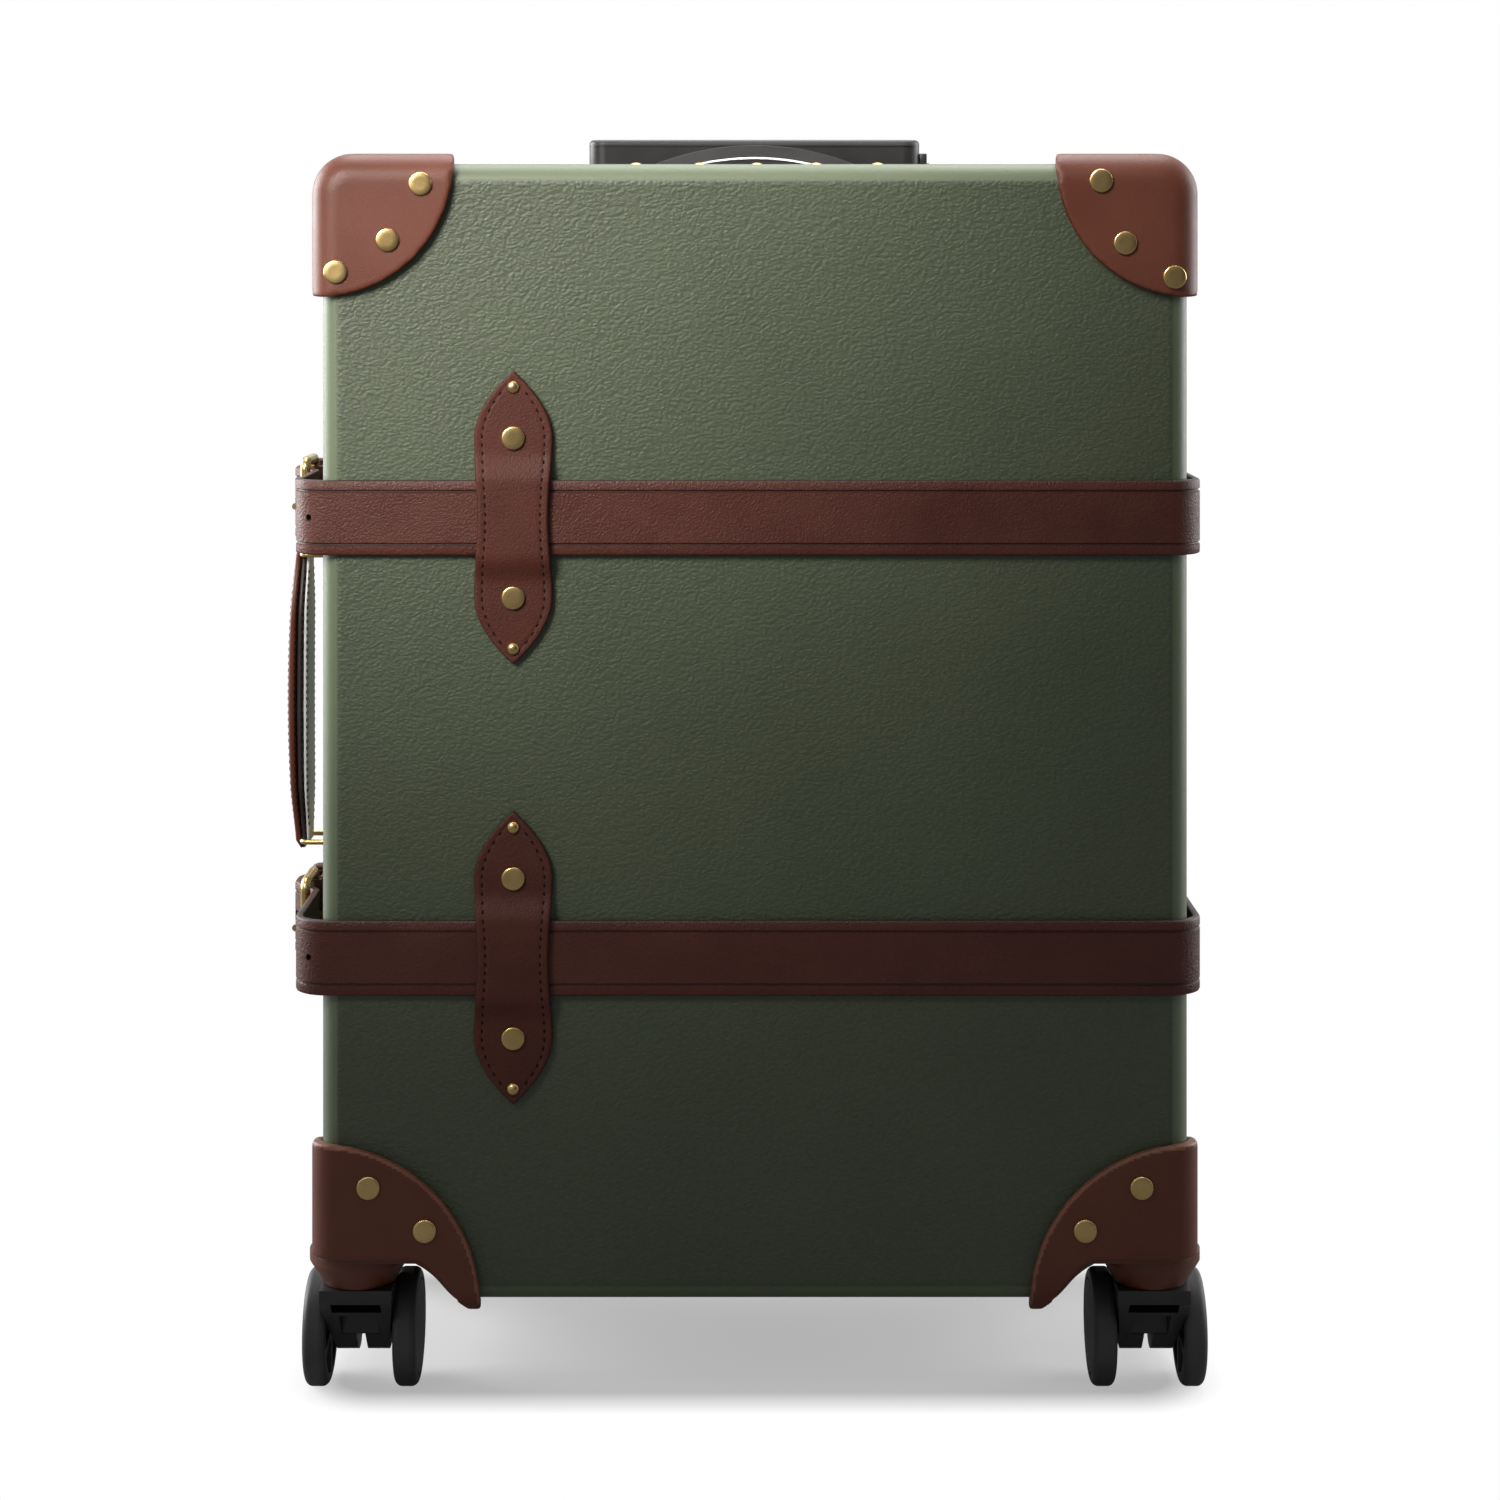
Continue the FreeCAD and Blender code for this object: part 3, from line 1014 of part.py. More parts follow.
def side_hinges():
    """Three butt hinges on the right side, with a pin through interleaved knuckles."""
    leaves = {"lid": [], "base": []}
    for number in (-1, 0, 1):
        height = "middle_z + %d * hinge_spacing" % number
        label = "hinge_%d" % (number + 1)
        low = height + " - hinge_length / 2"
        top = height + " + hinge_length / 2"
        middle_low = height + " - hinge_middle / 2"
        middle_top = height + " + hinge_middle / 2"
        reach = "hinge_radius + hinge_stand"
        outer = "side_x + hinge_leaf"
        pin = rod(label + "_pin", "hinge_pin", "hinge_length", ("hinge_x", "seam_y", low))
        plate = block(label + "_base_plate", ("side_x", "seam_y + " + reach, low),
                      (outer, "seam_y + hinge_leaf_width", top))
        parts = [plate]
        for part, start, end in (("low", low, middle_low), ("high", middle_top, top)):
            parts.append(rod("%s_base_knuckle_%s" % (label, part), "hinge_radius",
                             "(%s) - (%s)" % (end, start), ("hinge_x", "seam_y", start)))
            parts.append(block("%s_base_bridge_%s" % (label, part), ("side_x", "seam_y + seam_gap", start),
                               (outer, "seam_y + " + reach, end)))
        leaves["base"].append(fuse(label + "_base_leaf", *parts, pin))
        lid_plate = block(label + "_lid_plate", ("side_x", "seam_y - hinge_leaf_width", low),
                          (outer, "seam_y - (%s)" % reach, top))
        start = middle_low + " + hinge_end_gap"
        span = "hinge_middle - 2 * hinge_end_gap"
        knuckle = rod(label + "_lid_knuckle", "hinge_radius", span, ("hinge_x", "seam_y", start))
        bridge = block(label + "_lid_bridge", ("side_x", "seam_y - (%s)" % reach, start),
                       (outer, "seam_y - seam_gap", start + " + " + span))
        bore = rod(label + "_lid_bore", "hinge_pin + running_clearance", "2 * hinge_length",
                   ("hinge_x", "seam_y", height + " - hinge_length"))
        blank = fuse(label + "_lid_blank", lid_plate, knuckle, bridge)
        leaves["lid"].append(cut(label + "_lid_leaf", blank, bore))
    node("base_hinge_leaves", group("base_hinge_leaves", *leaves["base"]))
    node("lid_hinge_leaves", group("lid_hinge_leaves", *leaves["lid"]))


side_hinges()


def tube_corners(centre, inset):
    """Plan corners of a trolley tube that is smaller than the outer one by an inset on each side."""
    low = ("%s - tube_width / 2 + %s" % (centre, inset), "trolley_y - tube_depth / 2 + %s" % inset)
    high = ("%s + tube_width / 2 - (%s)" % (centre, inset), "trolley_y + tube_depth / 2 - (%s)" % inset)
    return low, high


def tube(name, shrink, low, high, side):
    """One rounded rectangular tube of the trolley, at the left or right."""
    centre = "%d * tube_spacing / 2" % SIDES[side]
    shells = []
    for label, inset, past in (("skin", shrink, "0"), ("bore", shrink + " + tube_wall", "tube_wall")):
        near, far = tube_corners(centre, inset)
        solid = block("%s_%s_%s" % (name, side, label), near + ("%s - %s" % (low, past),),
                      far + ("%s + %s" % (high, past),))
        doc.recompute()
        thin = min(solid.Length.Value, solid.Width.Value)
        radius = min(mm.tube_round, thin / 3)
        shells.append(round_edges("%s_%s_%s_round" % (name, side, label), solid, radius, along("z")))
    return cut("%s_%s" % (name, side), *shells)


def trolley():
    step = "tube_wall + tube_clearance"
    base_z = "floor_clearance + shell_wall + tube_base"
    under_tray = "tray_floor_z - tray_wall"
    outer = [tube("trolley_outer", "0", base_z, under_tray, side) for side in SIDES]
    middle_low = base_z + " + stage_step"
    middle_top = "tray_floor_z - tube_clearance"
    middle = [tube("trolley_middle", step, middle_low, middle_top, side) for side in SIDES]
    inner_low = base_z + " + 2 * stage_step"
    inner_top = "tray_floor_z + tube_socket"
    inner = [tube("trolley_inner", "2 * (%s)" % step, inner_low, inner_top, side) for side in SIDES]
    foot_blank = block("trolley_foot_blank",
                       ("-foot_width / 2", "trolley_y - foot_depth / 2", "floor_clearance + shell_wall"),
                       ("foot_width / 2", "trolley_y + foot_depth / 2", base_z))
    foot = round_edges("trolley_foot", foot_blank, mm.tube_round, along("z"))
    node("trolley_outer_tubes", group("trolley_outer_tubes", *outer, foot))
    node("trolley_middle_tubes", group("trolley_middle_tubes", *middle))
    node("trolley_inner_tubes", group("trolley_inner_tubes", *inner))
    tray_tools = [block("tray_space", ("-bar_width / 2 - tray_clearance",
                                       "trolley_y - bar_depth / 2 - tray_clearance", "tray_floor_z"),
                        ("bar_width / 2 + tray_clearance", "trolley_y + bar_depth / 2 + tray_clearance",
                         "top_z + bar_rise"))]
    for side, sign in SIDES.items():
        centre = "%d * tube_spacing / 2" % sign
        inset = step + " - tube_clearance"
        low, high = tube_corners(centre, inset)
        tray_tools.append(block("tray_hole_" + side, low + (under_tray + " - tray_wall",),
                                high + ("tray_floor_z + tray_wall",)))
    tray_blank = block("tray_blank", ("-bar_width / 2 - tray_clearance - tray_wall",
                                      "trolley_y - bar_depth / 2 - tray_clearance - tray_wall", under_tray),
                       ("bar_width / 2 + tray_clearance + tray_wall",
                        "trolley_y + bar_depth / 2 + tray_clearance + tray_wall", "top_z"))
    lug = block("tray_lug", ("bar_width / 2 + tray_clearance - lug_length / 2", "trolley_y - lug_depth / 2",
                             "top_z - lug_height"),
                ("bar_width / 2 + tray_clearance + lug_length / 2", "trolley_y + lug_depth / 2",
                 "top_z + lug_height"))
    node("trolley_tray", fuse("trolley_tray", cut("tray_open", tray_blank, *tray_tools), lug))
    bar = body("trolley_grip_bar", ("0", "trolley_y", "tray_floor_z"))
    long = mm.bar_width / 2
    wide = mm.bar_depth / 2
    outline = rounded_loop(long, wide, mm.bar_round)
    pad(bar, sketch(bar, "XY_Plane", "trolley_grip_outline", outline), "bar_height")
    crown = round_edges("trolley_grip_round", bar, mm.bar_edge_round,
                        level("z", mm.tray_floor_z + mm.bar_height))
    well_floor = "top_z + bar_rise - button_height - button_travel - button_clearance"
    well = block("trolley_button_well", ("-button_length / 2", "trolley_y - button_width / 2", well_floor),
                 ("button_length / 2", "trolley_y + button_width / 2", "top_z + 2 * bar_rise"))
    well_round = round_edges("trolley_button_well_round", well, mm.button_width / 2.1, along("z"))
    sockets = []
    for side, sign in SIDES.items():
        centre = "%d * tube_spacing / 2" % sign
        inset = "2 * (%s)" % step
        low, high = tube_corners(centre, inset)
        sockets.append(block("trolley_socket_" + side, low + ("tray_floor_z - tray_wall",),
                             high + ("tray_floor_z + tube_socket",)))
    node("trolley_grip", cut("trolley_grip", crown, well_round, *sockets))
    key = block("trolley_key", ("-button_length / 2 + button_clearance",
                                "trolley_y - button_width / 2 + button_clearance",
                                "top_z + bar_rise - button_height"),
                ("button_length / 2 - button_clearance", "trolley_y + button_width / 2 - button_clearance",
                 "top_z + bar_rise"))
    key_round = mm.button_width / 2.1 - mm.button_clearance
    node("trolley_button", round_edges("trolley_button", key, key_round, along("z")))


def rounded_loop(long, wide, radius):
    """Lines and arcs of a rounded rectangle about the origin."""
    slant = radius * (1 - math.sqrt(0.5))
    edges = []
    for x_sign, y_sign in ((1, 1), (-1, 1), (-1, -1), (1, -1)):
        edges.append(arc((x_sign * long, y_sign * (wide - radius)),
                         (x_sign * (long - slant), y_sign * (wide - slant)),
                         (x_sign * (long - radius), y_sign * wide)))
    for sign in (-1, 1):
        edges.append(line((sign * long, radius - wide), (sign * long, wide - radius)))
        edges.append(line((radius - long, sign * wide), (long - radius, sign * wide)))
    return edges


trolley()


def top_handle():
    """Arched grab handle whose legs rise in a recessed tray, held by pins in slots of the tray's ends."""
    item = body("top_handle_arch", ("0", "top_handle_y", "top_z + top_handle_rise"))
    radius = mm.top_handle_radius
    thin = mm.top_handle_thickness
    half = mm.top_handle_span / 2
    knee = half - mm.top_handle_leg

    def crown(distance, inset):
        return math.sqrt((radius - inset) ** 2 - distance ** 2) - radius
    foot = mm.top_tray_foot_gap - mm.top_tray_depth - mm.top_handle_rise
    edges = [arc((-half, crown(half, 0)), (0, 0), (half, crown(half, 0))),
             line((half, crown(half, 0)), (half, foot)), line((half, foot), (knee, foot)),
             line((knee, foot), (knee, crown(knee, thin))),
             arc((knee, crown(knee, thin)), (0, -thin), (-knee, crown(knee, thin))),
             line((-knee, crown(knee, thin)), (-knee, foot)), line((-knee, foot), (-half, foot)),
             line((-half, foot), (-half, crown(half, 0)))]
    pad(item, sketch(item, "XZ_Plane", "top_handle_side", edges), "top_handle_width", both=True)
    pin_z = "top_z - top_tray_depth + top_tray_foot_gap + top_handle_leg / 2"
    pins = rod("top_handle_pins", "top_pin_radius", "top_tray_length + top_tray_end_wall",
               ("-top_tray_length / 2 - top_tray_end_wall / 2", "top_handle_y", pin_z), "x")
    span = block("top_handle_between", ("-top_handle_span / 2 + top_handle_leg / 2",
                                        "top_handle_y - top_handle_width", "top_z - 2 * top_tray_depth"),
                 ("top_handle_span / 2 - top_handle_leg / 2", "top_handle_y + top_handle_width",
                  "top_z + 2 * top_handle_rise"))
    ends = cut("top_handle_pin_ends", pins, span)
    node("top_handle", fuse("top_handle", item, ends))
    outer = block("top_tray_blank", ("-top_tray_length / 2 - top_tray_end_wall",
                                     "top_handle_y - top_tray_width / 2 - top_tray_wall",
                                     "top_z - top_tray_depth - top_tray_wall"),
                  ("top_tray_length / 2 + top_tray_end_wall",
                   "top_handle_y + top_tray_width / 2 + top_tray_wall", "top_z"))
    inner = block("top_tray_space", ("-top_tray_length / 2", "top_handle_y - top_tray_width / 2",
                                     "top_z - top_tray_depth"),
                  ("top_tray_length / 2", "top_handle_y + top_tray_width / 2", "top_z + top_tray_depth"))
    slot_wide = "top_pin_radius + top_pin_clearance"
    slot = block("top_tray_slots", ("-top_tray_length / 2 - top_tray_end_wall / 2 - top_pin_clearance",
                                    "top_handle_y - (%s)" % slot_wide, pin_z + " - (%s)" % slot_wide),
                 ("top_tray_length / 2 + top_tray_end_wall / 2 + top_pin_clearance",
                  "top_handle_y + " + slot_wide, pin_z + " + top_handle_lift + " + slot_wide))
    node("top_handle_tray", cut("top_handle_tray", outer, inner, slot))


top_handle()

doc.recompute()
failed = [item.Name for item in doc.Objects if "Invalid" in item.State or "Error" in item.State]
if failed:
    raise RuntimeError("failed objects: " + ", ".join(failed))
for label, item in nodes.items():
    if item.Shape.isNull() or not item.Shape.isValid() or not item.Shape.Solids:
        raise RuntimeError("bad shape: " + label)

os.makedirs("parts", exist_ok=True)
for label, item in nodes.items():
    item.Shape.exportStep("parts/%s.step" % label)
print(len(nodes), "nodes,", sum(len(item.Shape.Solids) for item in nodes.values()), "solids")
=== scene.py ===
import bpy
import bmesh
import json
import math
from mathutils import Matrix, Vector

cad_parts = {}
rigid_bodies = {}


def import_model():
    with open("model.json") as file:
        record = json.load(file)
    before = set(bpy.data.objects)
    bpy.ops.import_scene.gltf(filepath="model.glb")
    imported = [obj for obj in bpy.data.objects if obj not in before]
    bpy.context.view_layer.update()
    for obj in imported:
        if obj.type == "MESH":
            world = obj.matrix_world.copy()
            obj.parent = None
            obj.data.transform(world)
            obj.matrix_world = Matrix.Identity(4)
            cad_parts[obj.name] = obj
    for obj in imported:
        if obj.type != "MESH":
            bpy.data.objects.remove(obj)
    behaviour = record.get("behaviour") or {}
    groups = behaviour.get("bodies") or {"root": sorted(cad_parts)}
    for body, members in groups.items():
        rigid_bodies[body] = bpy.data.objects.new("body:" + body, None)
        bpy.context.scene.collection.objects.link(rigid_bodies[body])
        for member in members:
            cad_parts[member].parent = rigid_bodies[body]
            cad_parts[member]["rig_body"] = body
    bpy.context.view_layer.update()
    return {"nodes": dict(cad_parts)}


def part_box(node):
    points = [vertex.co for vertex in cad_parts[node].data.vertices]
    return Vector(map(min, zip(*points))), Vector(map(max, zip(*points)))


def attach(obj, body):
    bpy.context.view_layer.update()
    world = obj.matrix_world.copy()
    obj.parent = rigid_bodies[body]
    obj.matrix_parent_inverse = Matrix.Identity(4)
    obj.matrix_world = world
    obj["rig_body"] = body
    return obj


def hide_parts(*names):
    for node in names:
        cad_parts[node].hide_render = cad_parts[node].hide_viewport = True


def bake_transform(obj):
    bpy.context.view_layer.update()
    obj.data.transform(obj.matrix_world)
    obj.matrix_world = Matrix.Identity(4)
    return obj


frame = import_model()
print("frame loaded:", len(frame["nodes"]), "nodes")

mm = 0.001
scene = bpy.context.scene
scene.view_settings.view_transform = "Standard"
upAxis = Vector((0, 0, 1))


# small tools

def newObject(name, bm, material, body=None, smooth=True):
    mesh = bpy.data.meshes.new(name)
    bm.to_mesh(mesh)
    bm.free()
    obj = bpy.data.objects.new(name, mesh)
    scene.collection.objects.link(obj)
    mesh.materials.append(material)
    for face in mesh.polygons:
        face.use_smooth = smooth
    if body:
        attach(obj, body)
    return obj


def middleOf(node):
    low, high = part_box(node)
    return (low + high) / 2


def closeUp(bm, dist=0.00002):
    bmesh.ops.remove_doubles(bm, verts=bm.verts[:], dist=dist)
    bmesh.ops.recalc_face_normals(bm, faces=bm.faces[:])


def applied(obj):
    # the object's mesh with its modifiers, as a plain mesh
    graph = bpy.context.evaluated_depsgraph_get()
    graph.update()
    mesh = bpy.data.meshes.new_from_object(obj.evaluated_get(graph))
    obj.modifiers.clear()
    old = obj.data
    obj.data = mesh
    bpy.data.meshes.remove(old)
    for face in mesh.polygons:
        face.use_smooth = True
    return obj


def crisp(obj, degrees):
    # round forms stay soft, cut edges and holes stay sharp
    obj.data.set_sharp_from_angle(angle=math.radians(degrees))


def darkenEdgesAndShadeCreases(obj, isDarkened):
    # the cut edge of a leather piece is painted darker than its face; the same dark colour on the floor of a
    # belt's pressed crease is painted shade
    obj.data.materials.append(finish["leatherEdgeAndShade"])
    for face in obj.data.polygons:
        if isDarkened(face):
            face.material_index = 1


# materials

def addNode(tree, kind, **values):
    node = tree.nodes.new(kind)
    for key, value in values.items():
        setattr(node, key, value)
    return node


def newGroup(name, numbers, results):
    # a node group that takes a place and numbers, and gives numbers
    tree = bpy.data.node_groups.new(name, "ShaderNodeTree")
    tree.interface.new_socket(name="Vector", in_out="INPUT", socket_type="NodeSocketVector")
    for way, keys in (("INPUT", numbers), ("OUTPUT", results)):
        for key in keys:
            tree.interface.new_socket(name=key, in_out=way, socket_type="NodeSocketFloat")
    return tree, addNode(tree, "NodeGroupInput"), addNode(tree, "NodeGroupOutput")


def setIn(node, **values):
    for key, value in values.items():
        node.inputs[key].default_value = value
    return node


def mathNode(tree, operation, first, second=None, clamp=False):
    node = addNode(tree, "ShaderNodeMath", operation=operation, use_clamp=clamp)
    for index, value in enumerate((first, second)):
        if value is None:
            continue
        if isinstance(value, (int, float)):
            node.inputs[index].default_value = value
        else:
            tree.links.new(value, node.inputs[index])
    return node.outputs[0]


def mixColour(tree, factor, first, second):
    # a tint of three numbers is opaque
    node = addNode(tree, "ShaderNodeMix", data_type="RGBA")
    for index, value in ((0, factor), (6, first), (7, second)):
        if isinstance(value, tuple):
            node.inputs[index].default_value = (*value, 1.0)
        elif isinstance(value, (int, float)):
            node.inputs[index].default_value = value
        else:
            tree.links.new(value, node.inputs[index])
    return node.outputs[2]


def ramp(tree, value, low, high):
    node = addNode(tree, "ShaderNodeMapRange", clamp=True)
    tree.links.new(value, node.inputs["Value"])
    setIn(node, **{"From Min": low, "From Max": high, "To Min": 0.0, "To Max": 1.0})
    return node.outputs["Result"]


def distanceTo(tree, value, at):
    return mathNode(tree, "ABSOLUTE", mathNode(tree, "SUBTRACT", value, at))


pebbles = dict(warpScale=180.0, warpBy=0.0025, merge=0.6, foldShare=0.75, pitFrom=0.15, pitTo=0.75)


def pebbleGroup():
    # rounded pebbles with fine grit between them: height and tone
    tree, start, end = newGroup("pebbleGrain", ("Pebble Scale", "Grit Scale", "Grit", "Crumple"),
                                ("Height", "Tone"))
    warp = addNode(tree, "ShaderNodeTexNoise")
    setIn(warp, Scale=pebbles["warpScale"], Detail=2.0)
    tree.links.new(start.outputs["Vector"], warp.inputs["Vector"])
    shift = addNode(tree, "ShaderNodeVectorMath", operation="MULTIPLY_ADD")
    shift.inputs[1].default_value = [pebbles["warpBy"]] * 3
    tree.links.new(warp.outputs["Color"], shift.inputs[0])
    tree.links.new(start.outputs["Vector"], shift.inputs[2])
    cell = addNode(tree, "ShaderNodeTexVoronoi", feature="SMOOTH_F1")
    setIn(cell, Smoothness=pebbles["merge"])
    tree.links.new(shift.outputs[0], cell.inputs["Vector"])
    tree.links.new(start.outputs["Pebble Scale"], cell.inputs["Scale"])
    grit = addNode(tree, "ShaderNodeTexNoise")
    setIn(grit, Detail=4.0, Roughness=0.6)
    tree.links.new(start.outputs["Vector"], grit.inputs["Vector"])
    tree.links.new(start.outputs["Grit Scale"], grit.inputs["Scale"])
    dome = mathNode(tree, "SUBTRACT", 1.0, cell.outputs["Distance"])
    fine = mathNode(tree, "MULTIPLY", grit.outputs["Fac"], start.outputs["Grit"])
    fold = addNode(tree, "ShaderNodeTexNoise")
    setIn(fold, Detail=3.0, Roughness=0.55)
    tree.links.new(shift.outputs[0], fold.inputs["Vector"])
    foldScale = mathNode(tree, "MULTIPLY", start.outputs["Pebble Scale"], pebbles["foldShare"])
    tree.links.new(foldScale, fold.inputs["Scale"])
    creased = mathNode(tree, "MULTIPLY", fold.outputs["Fac"], start.outputs["Crumple"])
    rough = mathNode(tree, "ADD", dome, fine)
    tree.links.new(mathNode(tree, "ADD", rough, creased), end.inputs["Height"])
    pits = ramp(tree, cell.outputs["Distance"], pebbles["pitFrom"], pebbles["pitTo"])
    tree.links.new(pits, end.inputs["Tone"])
    return tree


def patchGroup():
    # slow uneven tone of a large surface
    tree, start, end = newGroup("handTone", ("Scale",), ("Tone",))
    noise = addNode(tree, "ShaderNodeTexNoise")
    setIn(noise, Detail=5.0, Roughness=0.55)
    tree.links.new(start.outputs["Vector"], noise.inputs["Vector"])
    tree.links.new(start.outputs["Scale"], noise.inputs["Scale"])
    lowest, highest = 0.3, 0.7
    tree.links.new(ramp(tree, noise.outputs["Fac"], lowest, highest), end.inputs["Tone"])
    return tree


def weaveGroup():
    # plain weave of a lining cloth
    tree, start, end = newGroup("clothWeave", ("Scale",), ("Weave",))
    where = addNode(tree, "ShaderNodeSeparateXYZ")
    tree.links.new(start.outputs["Vector"], where.inputs[0])
    total = 0.0
    for index in range(3):
        turned = mathNode(tree, "MULTIPLY", where.outputs[index], start.outputs["Scale"])
        total = mathNode(tree, "ADD", mathNode(tree, "SINE", turned), total)
    span = 2.0
    tree.links.new(ramp(tree, total, -span, span), end.inputs["Weave"])
    return tree


grainTree = pebbleGroup()
toneTree = patchGroup()
weaveTree = weaveGroup()


def useGroup(tree, group, vector, **values):
    node = addNode(tree, "ShaderNodeGroup", node_tree=group)
    tree.links.new(vector, node.inputs["Vector"])
    for key, value in values.items():
        node.inputs[key.replace("_", " ")].default_value = value
    return node


def rimMask(tree, spot, rim):
    # 1 along the pressed edges of the case, where two of its faces meet
    near = []
    for axis in range(3):
        low, high = rim["low"][axis], rim["high"][axis]
        edge = (high - low) / 2 - rim["wide"]
        off = distanceTo(tree, spot.outputs[axis], (low + high) / 2)
        near.append(ramp(tree, off, edge - rim["fade"], edge))
    pairs = [mathNode(tree, "MINIMUM", near[a], near[b]) for a, b in ((0, 1), (1, 2), (0, 2))]
    return mathNode(tree, "MAXIMUM", mathNode(tree, "MAXIMUM", pairs[0], pairs[1]), pairs[2])


def surface(name, look):
    # one finish: two tones, roughness range, grain bump
    mat = bpy.data.materials.new(name)
    mat.use_nodes = True
    tree = mat.node_tree
    shader = tree.nodes["Principled BSDF"]
    place = addNode(tree, "ShaderNodeTexCoord").outputs["Object"]
    tone = useGroup(tree, toneTree, place, Scale=look["patch"]).outputs["Tone"]
    grainPlace = place
    if "stretch" in look:
        mapping = addNode(tree, "ShaderNodeMapping")
        mapping.inputs["Scale"].default_value = look["stretch"]
        tree.links.new(place, mapping.inputs["Vector"])
        grainPlace = mapping.outputs["Vector"]
    grain = useGroup(tree, grainTree, grainPlace, Pebble_Scale=look["pebble"], Grit_Scale=look["grit"],
                     Grit=look["gritty"], Crumple=look.get("crumple", 0.0))
    base = mixColour(tree, tone, look["dark"], look["light"])
    pits = mathNode(tree, "MULTIPLY", grain.outputs["Tone"], look["pits"])
    colour = mixColour(tree, pits, base, look["pit"])
    height = grain.outputs["Height"]
    if "weave" in look:
        cloth = useGroup(tree, weaveTree, place, Scale=look["weave"]).outputs["Weave"]
        colour = mixColour(tree, cloth, look["pit"], base)
        height = cloth
    spot = addNode(tree, "ShaderNodeSeparateXYZ")
    tree.links.new(place, spot.inputs[0])
    for axis, at, wide, tint in look.get("lines", ()):
        # dark joints and painted highlight bands at set heights
        joint = mathNode(tree, "LESS_THAN", distanceTo(tree, spot.outputs[axis], at), wide)
        colour = mixColour(tree, joint, colour, tint)
    if "rim" in look:
        # smoother than the panels, and paler: a painted highlight of the lit bands along the edges
        rim = look["rim"]
        here = rimMask(tree, spot, rim)
        calm = mathNode(tree, "SUBTRACT", 1.0, mathNode(tree, "MULTIPLY", here, rim["calm"]))
        height = mathNode(tree, "MULTIPLY", height, calm)
        paintedRimLight = mixColour(tree, tone, colour, rim["tint"])
        paintedRimLight = mixColour(tree, rim["cover"], paintedRimLight, rim["tint"])
        colour = mixColour(tree, here, colour, paintedRimLight)
    tree.links.new(colour, shader.inputs["Base Color"])
    spread = addNode(tree, "ShaderNodeMapRange", clamp=True)
    tree.links.new(tone, spread.inputs["Value"])
    setIn(spread, **{"To Min": look["rough"][0], "To Max": look["rough"][1]})
    tree.links.new(spread.outputs["Result"], shader.inputs["Roughness"])
    bump = addNode(tree, "ShaderNodeBump")
    setIn(bump, Strength=look["bump"], Distance=look["depth"])
    tree.links.new(height, bump.inputs["Height"])
    tree.links.new(bump.outputs["Normal"], shader.inputs["Normal"])
    shader.inputs["Metallic"].default_value = look.get("metal", 0.0)
    shader.inputs["Specular IOR Level"].default_value = look.get("gloss", 0.5)
    return mat


